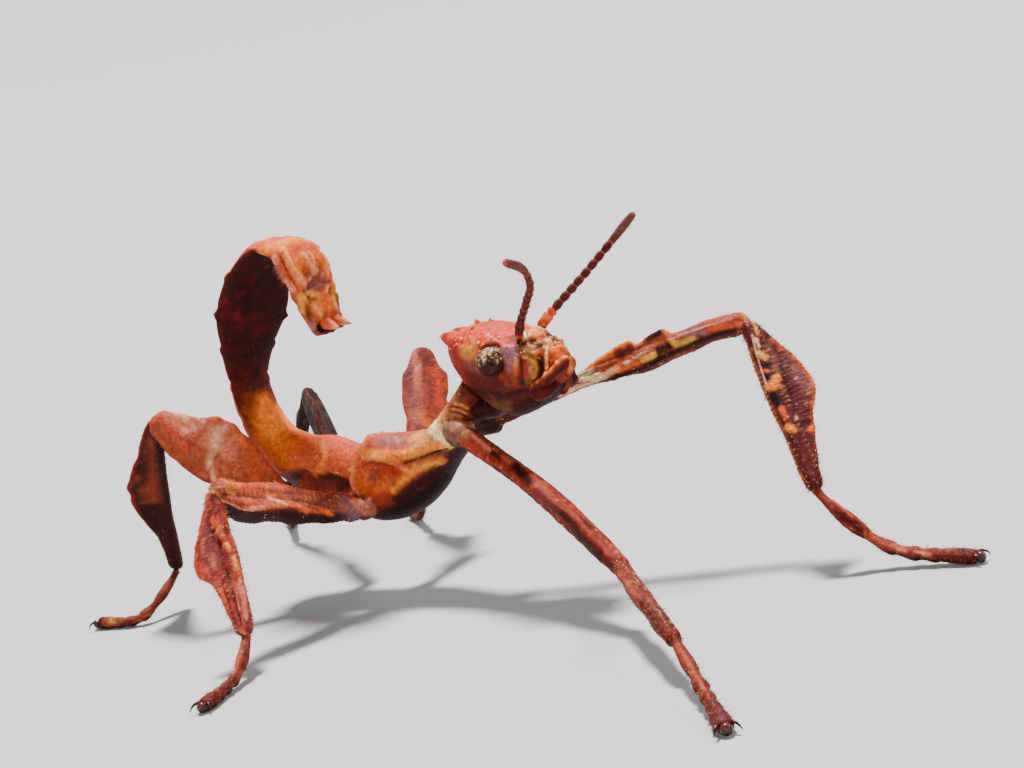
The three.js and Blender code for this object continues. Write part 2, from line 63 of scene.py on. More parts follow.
# ---- shape tables
# Trunk rings from the neck to the tip of the curled abdomen: y, z of the centre, half width, height above
# the centre, height below it, widening at the bottom, turn about the path in degrees.
TRUNK = {
    "neck": (-6.30, 8.00, 0.70, 0.62, 0.75, 0.00, 0),
    "pronotum": (-5.45, 7.20, 0.88, 0.66, 0.85, 0.00, 0),
    "prothorax": (-4.50, 6.40, 0.98, 0.70, 1.00, 0.00, 0),
    "collar": (-3.60, 5.82, 0.98, 0.82, 1.20, 0.00, 0),
    "shoulder": (-2.60, 5.40, 1.08, 1.08, 1.65, 0.10, 0),
    "mesothorax": (-1.20, 5.00, 1.24, 1.46, 1.98, 0.18, 0),
    "middle_hips": (0.00, 4.85, 1.32, 1.58, 2.00, 0.18, 0),
    "waist": (0.95, 4.95, 1.14, 1.12, 1.72, 0.12, 0),
    "metathorax": (2.20, 5.15, 1.20, 1.34, 1.45, 0.12, 0),
    "hind_hips": (3.55, 5.45, 1.20, 1.16, 1.35, 0.10, 0),
    "abdomen_2": (5.15, 6.30, 1.06, 0.85, 1.05, 0.00, 0),
    "abdomen_3": (6.00, 7.75, 1.00, 0.60, 0.75, 0.00, 3),
    "abdomen_4": (6.12, 9.25, 1.00, 0.46, 0.52, 0.00, 10),
    "abdomen_5": (5.62, 10.75, 1.26, 0.42, 0.46, 0.00, 22),
    "abdomen_6": (4.90, 12.05, 1.52, 0.40, 0.46, 0.00, 30),
    "abdomen_7": (3.88, 13.48, 1.38, 0.40, 0.46, 0.00, 24),
    "abdomen_8": (2.65, 14.42, 1.22, 0.40, 0.46, 0.00, 10),
    "abdomen_9": (1.40, 13.85, 1.24, 0.42, 0.46, 0.00, 2),
    "abdomen_10": (1.04, 12.20, 1.18, 0.40, 0.42, 0.00, 0),
    "tip": (0.72, 10.85, 0.84, 0.30, 0.32, 0.00, 0),
}
TRUNK_PLACE = {name: place for place, name in enumerate(TRUNK)}

# Head rings: y, top z, bottom z, half width.
HEAD = {
    "nape": (-5.80, 9.80, 9.10, 0.50),
    "crown": (-6.15, 10.18, 8.55, 0.95),
    "brow": (-7.00, 10.46, 7.55, 1.26),
    "eyes": (-8.20, 10.38, 6.80, 1.36),
    "antennae": (-9.10, 10.12, 6.95, 1.34),
    "face": (-9.88, 9.80, 7.25, 1.14),
    "muzzle": (-10.42, 9.24, 7.65, 0.84),
    "mouth": (-10.68, 8.82, 8.05, 0.48),
}
HEAD_MIDDLE = 0.56           # height of a head ring's widest place, as a share of the ring
HEAD_SQUARE = 2.3            # exponent of a head ring: 2 is an ellipse

EYE_CENTRE = (1.22, -8.52, 9.22)
EYE_RADIUS = 0.60
EYE_BULGE = 0.90             # depth of the eye as a share of its radius
EYE_TALL = 0.88              # height of the eye as a share of its radius
EYE_LONG = 1.09              # length of the eye as a share of its radius
EYE_TURN = 0.50              # the eye looks this far forward of square to the side, radians

FEELERS = {
    "left": ((0.60, -9.50, 9.86), (1.02, -9.80, 10.28), (2.40, -11.00, 11.56), (3.98, -12.40, 13.16)),
    "right": ((-0.55, -9.42, 9.86), (-0.92, -10.02, 10.50), (-1.42, -10.98, 11.33), (-1.95, -11.75, 11.95),
              (-2.83, -12.30, 12.72), (-3.70, -12.30, 13.16)),
}

# Legs: hip, knee, ankle, a place along the foot, tip of the foot. bow moves the middle of the thigh off the
# straight line; blade_* point to the outer edge of the thigh and of the shin.
LEGS = {
    "front_right": dict(kind="front", hand=-1, hip=(-0.90, -5.86, 6.40), knee=(-4.30, -14.90, 2.15),
                        ankle=(-8.90, -20.20, 1.35), instep=(-10.85, -22.40, 0.60), toe=(-12.70, -24.40, 0),
                        bow=(0.27, 0, 0.14), blade_thigh=(-0.73, -0.06, 0.68), blade_shin=(-0.73, 0.10, 0.66),
                        leaf=0.12),
    "front_left": dict(kind="front", hand=1, hip=(0.90, -5.86, 6.40), knee=(4.30, -16.00, 8.50),
                       ankle=(1.50, -19.40, 2.90), instep=(1.70, -21.75, 0.72), toe=(2.00, -24.90, 0),
                       bow=(0, 0, 0.15), blade_thigh=(0.03, 0.21, 0.97), blade_shin=(0.60, -0.64, 0.09)),
    "middle_right": dict(kind="middle", hand=-1, hip=(-1.26, 0, 3.85), knee=(-6.70, 2.10, 6.40),
                         ankle=(-9.10, -0.40, 1.40), instep=(-10.50, -1.00, 0.42), toe=(-12.90, -1.70, 0),
                         bow=(0, 0, 0), blade_thigh=(-0.50, -0.80, -0.40), blade_shin=(-0.61, 0.67, -0.04)),
    "middle_left": dict(kind="middle", hand=1, hip=(1.26, 0, 3.85), knee=(6.10, 2.00, 8.35),
                        ankle=(7.40, 5.20, 2.20), instep=(8.25, 6.60, 0.55), toe=(9.40, 8.20, 0),
                        bow=(0.55, 0, 0), blade_thigh=(0.58, -0.73, -0.36), blade_shin=(0.80, -0.30, 0.10)),
    "hind_right": dict(kind="hind", hand=-1, hip=(-1.42, 3.43, 3.85), knee=(-3.60, 8.30, 8.60),
                       ankle=(-2.20, 11.20, 1.70), instep=(-4.40, 11.50, 0.36), toe=(-4.90, 13.90, 0),
                       bow=(0, 0, 0), blade_thigh=(0.56, -0.44, 0.70), blade_shin=(-0.54, 0.64, 0.16)),
    "hind_left": dict(kind="hind", hand=1, hip=(1.42, 3.43, 3.85), knee=(5.20, 8.50, 7.10),
                      ankle=(6.50, 13.00, 1.80), instep=(7.60, 14.40, 0.50), toe=(9.00, 16.00, 0),
                      bow=(0, 0, 0), blade_thigh=(-0.56, -0.44, 0.70), blade_shin=(0.54, 0.64, 0.16)),
}

# Leg shapes. Each row: place along the piece, reach of the outer edge, reach of the inner edge, half
# thickness above, half thickness below.
THIGH = {
    "front": ((0, 0.28, 0.28, 0.28, 0.28), (0.32, 0.30, 0.22, 0.34, 0.34), (0.46, 0.66, 0.28, 0.40, 0.40),
              (0.575, 0.86, 0.50, 0.42, 0.42), (0.60, 0.62, 0.52, 0.42, 0.42), (0.64, 0.72, 0.50, 0.41, 0.41),
              (0.70, 0.84, 0.42, 0.40, 0.40), (0.725, 0.56, 0.38, 0.40, 0.40), (0.86, 0.58, 0.26, 0.38, 0.38),
              (1, 0.46, 0.36, 0.32, 0.32)),
    "front_right": (
        (0, 0.42, 0.40, 0.40, 0.40), (0.16, 0.38, 0.34, 0.38, 0.38), (0.32, 0.38, 0.30, 0.37, 0.37),
        (0.46, 0.62, 0.32, 0.40, 0.40), (0.60, 0.74, 0.46, 0.42, 0.42), (0.72, 0.70, 0.38, 0.40, 0.40),
        (0.86, 0.60, 0.28, 0.38, 0.38), (1, 0.46, 0.36, 0.32, 0.32)),
    "middle": ((0, 0.42, 0.42, 0.34, 0.44), (0.25, 0.76, 0.70, 0.38, 0.82), (0.55, 1.06, 0.88, 0.40, 1.02),
               (0.80, 1.02, 0.90, 0.40, 1.04), (0.92, 0.74, 0.66, 0.38, 0.86), (1, 0.46, 0.46, 0.34, 0.36)),
    "middle_left": (
        (0, 0.42, 0.42, 0.34, 0.34), (0.25, 0.46, 0.46, 0.36, 0.36), (0.45, 0.68, 0.60, 0.38, 0.50),
        (0.64, 1.00, 0.87, 0.40, 0.70), (0.81, 1.05, 0.86, 0.40, 0.70), (0.845, 0.80, 0.72, 0.39, 0.62),
        (0.94, 0.54, 0.50, 0.36, 0.50), (1, 0.44, 0.42, 0.34, 0.36)),
    "hind": ((0, 0.42, 0.42, 0.34, 0.34), (0.2, 0.70, 0.62, 0.42, 0.42), (0.42, 1.25, 1.00, 0.44, 0.44),
             (0.62, 1.55, 1.12, 0.44, 0.44), (0.82, 0.90, 0.90, 0.40, 0.40), (1, 0.46, 0.46, 0.34, 0.34)),
}
SHIN = {
    "front": ((0, 0.34, 0.30, 0.30, 0.30), (0.12, 0.66, 0.26, 0.28, 0.28), (0.35, 1.38, 0.34, 0.28, 0.28),
              (0.48, 1.36, 0.32, 0.28, 0.28), (0.64, 0.92, 0.28, 0.27, 0.27), (0.85, 0.50, 0.28, 0.27, 0.27),
              (1, 0.30, 0.28, 0.27, 0.27)),
    "middle": ((0, 0.34, 0.30, 0.30, 0.30), (0.15, 0.66, 0.26, 0.28, 0.28), (0.33, 1.12, 0.27, 0.28, 0.28),
               (0.50, 1.34, 0.38, 0.28, 0.28), (0.66, 0.74, 0.38, 0.27, 0.27), (0.86, 0.48, 0.32, 0.27, 0.27),
               (1, 0.30, 0.28, 0.27, 0.27)),
    "hind": ((0, 0.36, 0.30, 0.30, 0.30), (0.25, 1.05, 0.20, 0.28, 0.28), (0.48, 1.60, 0.16, 0.28, 0.28),
             (0.62, 1.20, 0.16, 0.28, 0.28), (0.76, 0.68, 0.22, 0.27, 0.27), (1, 0.30, 0.28, 0.27, 0.27)),
}
FOOT = ((0, 0.20, 0.20, 0.20, 0.20), (0.5, 0.22, 0.24, 0.22, 0.22), (0.82, 0.23, 0.26, 0.25, 0.25),
        (1, 0.22, 0.26, 0.28, 0.28))
HIP_RADIUS = {"front": 0.60, "middle": 0.66, "hind": 0.56}
HIP_INNER = {"front": (0.45, 0.85, 0.15), "middle": (0.45, 0.10, 0.35), "hind": (0.45, 0.10, 0.35)}
HIP_REACH = 0.15
HIP_TAPER = 0.8
KNEE_REACH = 0.18
FOOT_LIFT = 0.22
FOOT_ROOT = 0.24             # how far a foot reaches up into its shin

# Viewpoint: direction from the target in degrees, distance and target in millimetres, focal length in
# picture points of a picture 1024 by 768 points.
VIEW = {"azimuth": -48.034, "elevation": 9.632, "roll": -13.575, "distance": 100.026,
        "target": (13.102, 3.725, 5.0), "focal": 2200.0, "width": 1024, "height": 768}
SENSOR = 36.0


def srgb(code):
    """Linear colour of a six-figure web colour, by the sRGB curve."""
    steps = np.array([int(code[i:i + 2], 16) for i in (1, 3, 5)]) / 255.0
    low = steps / 12.92
    high = ((steps + 0.055) / 1.055) ** 2.4
    return np.where(steps <= 0.04045, low, high)


PALETTE = {name: srgb(code) for name, code in {
    "salmon": "#cc4a24", "brick": "#9c2d16", "red": "#86150a", "coral": "#d43e18", "orange": "#d65a0c",
    "bright": "#ee7a18", "gold": "#dd9a34", "cream": "#fbe398", "pink": "#e67d5c", "pale": "#f6b995",
    "tan": "#ad7a4c", "mauve": "#74403a", "violet": "#80585c", "plum": "#561a1b", "maroon": "#4a0702",
    "umber": "#260401", "black": "#0c0301", "olive": "#5c380a", "rust": "#84300f", "clay": "#a94628",
    "peach": "#f0944e", "russet": "#8c3220", "ivory": "#fff4cc", "oxblood": "#701c10", "crimson": "#a43a30",
}.items()}


# ---- numbers worked out as whole arrays
def follow(table, places):
    """Values of a table's columns at the places: a cubic Hermite curve through its rows, whose slope at each
    row is that of the line between the rows on either side of it."""
    rows = np.asarray(table, float)
    knots, values = rows[:, 0], rows[:, 1:]
    last = len(knots) - 1
    before = np.maximum(np.arange(last + 1) - 1, 0)
    after = np.minimum(np.arange(last + 1) + 1, last)
    slopes = (values[after] - values[before]) / (knots[after] - knots[before])[:, None]
    places = np.asarray(places, float)
    i = np.clip(np.searchsorted(knots, places, side="right") - 1, 0, last - 1)
    span = knots[i + 1] - knots[i]
    t = (places - knots[i]) / span
    t, span = t[..., None], span[..., None]
    t2, t3 = t * t, t ** 3
    return ((2 * t3 - 3 * t2 + 1) * values[i] + (t3 - 2 * t2 + t) * span * slopes[i]
            + (3 * t2 - 2 * t3) * values[i + 1] + (t3 - t2) * span * slopes[i + 1])


def smooth(low, high, values):
    """0 below low, 1 above high, and between them the curve 3t2 - 2t3."""
    t = np.clip((np.asarray(values, float) - low) / (high - low), 0, 1)
    return t * t * (3 - 2 * t)


def unit(vectors):
    """The vectors at length one."""
    return vectors / np.maximum(np.linalg.norm(vectors, axis=-1, keepdims=True), 1e-12)


PRIMES = (374761393, 668265263, 2246822519, 1274126177, 7919)      # large odd numbers that mix the bits
TOP = 0xFFFFFF               # the largest of the mixed numbers


def lattice(cells, seed):
    """A number from -1 to 1 for each whole-numbered cell, by mixing the bits of its three coordinates."""
    x, y, z = (cells[..., i].astype(np.uint64) for i in range(3))
    across, along, high, after, step = (np.uint64(prime) for prime in PRIMES)
    h = x * across + y * along + z * high + np.uint64(seed) * step
    h = (h ^ (h >> np.uint64(13))) * after
    h = (h ^ (h >> np.uint64(16))) & np.uint64(TOP)
    return h.astype(float) / float(TOP) * 2 - 1


def noise(points, size, seed=0):
    """Smooth noise from -1 to 1: values at the corners of a lattice of the given cell size, blended inside
    each cell by the curve 3t2 - 2t3 along each axis."""
    q = points / size + 4096.0
    cell = np.floor(q).astype(np.int64)
    t = q - cell
    t = t * t * (3 - 2 * t)
    total = np.zeros(points.shape[:-1])
    for corner in np.ndindex(2, 2, 2):
        weight = np.prod(np.where(np.array(corner) == 1, t, 1 - t), axis=-1)
        total += weight * lattice(cell + np.array(corner), seed)
    return total


def cloud(points, size, seed=0, octaves=3):
    """Noise added up over octaves, each half the size and half the height of the one before."""
    total = sum(noise(points, size / 2 ** k, seed + k) / 2 ** k for k in range(octaves))
    return total / (2 - 2 ** (1 - octaves))


def mix(base, tint, amount):
    """Colour between base and tint; amount has one number for each place."""
    return base + (tint - base) * np.clip(amount, 0, 1)[..., None]


def plain(points, name):
    """One colour of the palette at every point."""
    return np.ones(points.shape) * PALETTE[name]


def wash(paint, *layers):
    """Lays colours over the paint in turn: each has a palette name, or a colour, and how much it covers."""
    for tint, amount in layers:
        paint = mix(paint, PALETTE[tint] if isinstance(tint, str) else tint, amount)
    return paint


def bump(values, centre, width):
    """A rounded peak of height 1 at the centre: exp(-((value - centre) / width) ^ 2)."""
    return np.exp(-((values - centre) / width) ** 2)


def route(points):
    """Smooth curve through points, sampled closely, with the run along it: centripetal Catmull-Rom spans."""
    knots = np.asarray(points, float)
    ends = np.vstack([2 * knots[0] - knots[1], knots, 2 * knots[-1] - knots[-2]])
    gaps = np.linalg.norm(np.diff(ends, axis=0), axis=1) ** 0.5
    t = np.linspace(0, 1, 80)[:, None]
    spans = []
    for i in range(len(knots) - 1):
        p0, p1, p2, p3 = ends[i:i + 4]
        d0, d1, d2 = gaps[i:i + 3]
        m1 = ((p1 - p0) / d0 - (p2 - p0) / (d0 + d1) + (p2 - p1) / d1) * d1
        m2 = ((p2 - p1) / d1 - (p3 - p1) / (d1 + d2) + (p3 - p2) / d2) * d1
        span = ((2 * t ** 3 - 3 * t ** 2 + 1) * p1 + (t ** 3 - 2 * t ** 2 + t) * m1
                + (3 * t ** 2 - 2 * t ** 3) * p2 + (t ** 3 - t ** 2) * m2)
        spans.append(span if i == 0 else span[1:])
    line = np.vstack(spans)
    run = np.concatenate([[0], np.cumsum(np.linalg.norm(np.diff(line, axis=0), axis=1))])
    return line, run


def walk(line, run, stations):
    """Places on a sampled curve at the given distances along it."""
    return np.stack([np.interp(stations, run, line[:, axis]) for axis in range(3)], axis=-1)


def heading(line, run, stations):
    """The way a sampled curve runs at the stations, from the places 1% of its length ahead and behind."""
    step = 0.01 * run[-1]
    ahead = walk(line, run, np.minimum(stations + step, run[-1]))
    return unit(ahead - walk(line, run, np.maximum(stations - step, 0)))


# ---- surfaces on grids
class Sheet:
    """A closed surface: rows of points along a piece, each row a ring, with a fan closing each end."""

    def __init__(self, points, along, angle, name=""):
        self.points = points
        self.along = np.asarray(along, float)[:, None] * np.ones((1, points.shape[1]))
        self.angle = np.asarray(angle, float)[None, :] * np.ones((points.shape[0], 1))
        self.name = name
        self.paint = np.ones(points.shape)
        self.shine = np.zeros(points.shape[:2])
        self.unwrap = (0.0, 0.0, 1.0, 1.0)

    def normals(self):
        """Outward unit vectors: the cross product of the steps along and round the grid."""
        ahead = np.gradient(self.points, axis=0)
        round_ = np.roll(self.points, -1, axis=1) - np.roll(self.points, 1, axis=1)
        across = unit(np.cross(round_, ahead))
        outward = self.points - self.points.mean(axis=1, keepdims=True)
        return across * (1 if (across * outward).sum() > 0 else -1)

    def swell(self, height):
        """Moves each point along the surface's outward vector by its height."""
        self.points = self.points + self.normals() * height[..., None]

    def arrays(self):
        """Points, four-sided faces and three-sided faces, all facing outwards."""
        rows, columns = self.points.shape[:2]
        hubs = np.stack([self.points[0].mean(axis=0), self.points[-1].mean(axis=0)])
        points = np.vstack([self.points.reshape(-1, 3), hubs])
        index = np.arange(rows * columns).reshape(rows, columns)
        turned = np.roll(index, -1, axis=1)
        quads = np.stack([index[:-1], turned[:-1], turned[1:], index[1:]], axis=-1).reshape(-1, 4)
        first = np.stack([np.full(columns, rows * columns), turned[0], index[0]], axis=-1)
        last = np.stack([np.full(columns, rows * columns + 1), index[-1], turned[-1]], axis=-1)
        triangles = np.vstack([first, last])
        a, b, c, d = (points[quads[:, k]] for k in range(4))
        volume = (a * np.cross(b, c)).sum() + (a * np.cross(c, d)).sum()
        volume += (points[triangles[:, 0]] * np.cross(points[triangles[:, 1]], points[triangles[:, 2]])).sum()
        if volume < 0:
            quads, triangles = quads[:, ::-1], triangles[:, ::-1]
        return points, quads, triangles

    def values(self, field):
        """A field of the grid with the value of each end's hub added after it."""
        flat = field.reshape(-1, *field.shape[2:])
        hubs = np.stack([field[0].mean(axis=0), field[-1].mean(axis=0)])
        return np.concatenate([flat, hubs])

    def shade_under(self, amount):
        """Darkens the colour of what faces down: by the amount where it faces straight down."""
        down = smooth(0.25, -0.75, self.normals()[..., 2])
        self.paint = self.paint * (1 - amount * down)[..., None]

    def tree(self):
        """The surface as a search tree for rays and nearest points."""
        points, quads, triangles = self.arrays()
        return BVHTree.FromPolygons(points.tolist(), quads.tolist() + triangles.tolist())


def shift():
    """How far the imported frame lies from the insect's own frame, from where the eyes are, in millimetres."""
    centres = []
    for node in ("eye_right", "eye_left"):
        low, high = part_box(node)
        centres.append((np.array(low) + np.array(high)) / 2 / MM)
    middle = (centres[0] + centres[1]) / 2
    return np.array([middle[0], middle[1] - EYE_CENTRE[1], 0.0])


SHIFT = shift()


def fill_mesh(name, points, quads, triangles):
    """A mesh from whole arrays of points and faces, in metres."""
    mesh = bpy.data.meshes.new(name)
    mesh.vertices.add(len(points))
    mesh.vertices.foreach_set("co", ((points + SHIFT) * MM).ravel())
    corners = np.concatenate([np.asarray(quads, int).ravel(), np.asarray(triangles, int).ravel()])
    sizes = np.concatenate([np.full(len(quads), 4), np.full(len(triangles), 3)])
    mesh.loops.add(len(corners))
    mesh.loops.foreach_set("vertex_index", corners)
    mesh.polygons.add(len(sizes))
    mesh.polygons.foreach_set("loop_start", np.concatenate([[0], np.cumsum(sizes)[:-1]]))
    mesh.update(calc_edges=True)
    mesh.validate()
    mesh.shade_smooth()
    return mesh


def set_paint(mesh, paint, shine):
    """Stores each point's colour and gloss on the mesh."""
    colours = np.concatenate([paint, np.ones((len(paint), 1))], axis=1).astype(np.float32)
    mesh.attributes.new("paint", "FLOAT_COLOR", "POINT").data.foreach_set("color", colours.ravel())
    mesh.attributes.new("shine", "FLOAT", "POINT").data.foreach_set("value", shine.astype(np.float32))


def add_object(name, mesh):
    """Puts a mesh into the scene as an object at the origin."""
    piece = bpy.data.objects.new(name, mesh)
    bpy.context.scene.collection.objects.link(piece)
    return piece


def join_sheets(name, sheets):
    """One mesh object from several closed sheets."""
    points, quads, triangles, paint, shine = [], [], [], [], []
    first = 0
    for sheet in sheets:
        p, q, t = sheet.arrays()
        points.append(p)
        quads.append(q + first)
        triangles.append(t + first)
        paint.append(sheet.values(sheet.paint))
        shine.append(sheet.values(sheet.shine))
        first += len(p)
    mesh = fill_mesh(name, np.vstack(points), np.vstack(quads), np.vstack(triangles))
    set_paint(mesh, np.vstack(paint), np.concatenate(shine))
    return add_object(name, mesh)


# ---- the viewpoint, and marks placed by it
class Viewpoint:
    """The camera's place and axes in the insect's own frame."""

    def __init__(self):
        turn, rise, roll = np.radians([VIEW["azimuth"], VIEW["elevation"], VIEW["roll"]])
        self.back = np.array([np.sin(turn) * np.cos(rise), -np.cos(turn) * np.cos(rise), np.sin(rise)])
        right = unit(np.cross(-self.back, [0, 0, 1]))
        up = np.cross(right, -self.back)
        self.right = np.cos(roll) * right + np.sin(roll) * up
        self.up = -np.sin(roll) * right + np.cos(roll) * up
        self.place = np.array(VIEW["target"]) + self.back * VIEW["distance"]

    def seat(self, tree, spot):
        """The first place on a surface behind a picture point, or None where it misses."""
        across = (spot[0] - VIEW["width"] / 2) / VIEW["focal"]
        down = (spot[1] - VIEW["height"] / 2) / VIEW["focal"]
        way = unit(-self.back + self.right * across - self.up * down)
        hit = tree.ray_cast(Vector(self.place), Vector(way))[0]
        return None if hit is None else np.array(hit)


EYEPOINT = Viewpoint()


def seat_line(tree, spots, step=2.5):
    """Places on a surface behind a line of picture points, with more points put in between."""
    spots = np.asarray(spots, float)
    if len(spots) > 1:
        run = np.concatenate([[0], np.cumsum(np.linalg.norm(np.diff(spots, axis=0), axis=1))])
        stations = np.linspace(0, run[-1], max(2, int(run[-1] / step)))
        spots = np.stack([np.interp(stations, run, spots[:, k]) for k in range(2)], axis=-1)
    places = [EYEPOINT.seat(tree, spot) for spot in spots]
    return np.array([place for place in places if place is not None])


def distance_to(points, anchors):
    """Distance from each point to the broken line through the anchors."""
    best = np.full(points.shape[:-1], np.inf)
    starts = anchors if len(anchors) == 1 else anchors[:-1]
    ends = anchors if len(anchors) == 1 else anchors[1:]
    for start, end in zip(starts, ends):
        way = end - start
        length = max(float(way @ way), 1e-12)
        t = np.clip(((points - start) @ way) / length, 0, 1)
        best = np.minimum(best, np.linalg.norm(points - start - t[..., None] * way, axis=-1))
    return best


def apply_marks(sheet, marks, seed=0, ragged=0.12, both=True):
    """Raises and paints a sheet under each mark: a patch, ridge or groove. A mark's row has its colour, how
    much it covers, its half width and height in millimetres, its gloss, how sharp its edge is, and the
    picture points of its line. Its strength falls off with the distance d from the line as
    exp(-(d / width) ^ edge), with d made a little ragged by noise. With both, it is mirrored on the other
    side."""
    tree = sheet.tree()
    height = np.zeros(sheet.shine.shape)
    wobble = 1 + ragged * 2 * noise(sheet.points, 0.16, seed)
    for tint, amount, width, tall, shine, edge, *spots in marks:
        anchors = seat_line(tree, spots)
        if len(anchors) == 0:
            continue
        reach = distance_to(sheet.points, anchors)
        if both:
            reach = np.minimum(reach, distance_to(sheet.points, anchors * np.array([-1, 1, 1])))
        strength = np.exp(-(reach * wobble / width) ** edge)
        height += tall * strength
        sheet.paint = wash(sheet.paint, (tint, strength * amount))
        sheet.shine = sheet.shine + (shine - sheet.shine) * np.clip(strength, 0, 1)
    sheet.swell(height)


def round_ends(points, along, first_bulge, last_bulge, rows=5):
    """Adds shrinking rings at both ends: each is scaled by the cosine and pushed out by the sine of an angle
    that goes up to 80 degrees."""
    angles = np.radians(np.linspace(0, 80, rows + 1)[1:])
    out = [points]
    places = [np.asarray(along, float)]
    for end, bulge, step in ((0, first_bulge, 1), (-1, last_bulge, -1)):
        ring = points[end]
        centre = ring.mean(axis=0)
        way = unit(centre - points[end + step].mean(axis=0))
        rings = np.stack([centre + (ring - centre) * np.cos(a) + way * bulge * np.sin(a) for a in angles])
        spot = np.full(rows, along[end])
        if end == 0:
            out.insert(0, rings[::-1])
            places.insert(0, spot)
        else:
            out.append(rings)
            places.append(spot)
    return np.concatenate(out), np.concatenate(places)


# ---- the head
COAT = 0.03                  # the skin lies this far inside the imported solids, under the hairs
HEAD_GRID = (132, 220)
HORN = {"foot": (0.35, -6.60, 9.74), "tip": (0.34, -5.26, 10.24), "radius": 0.46}

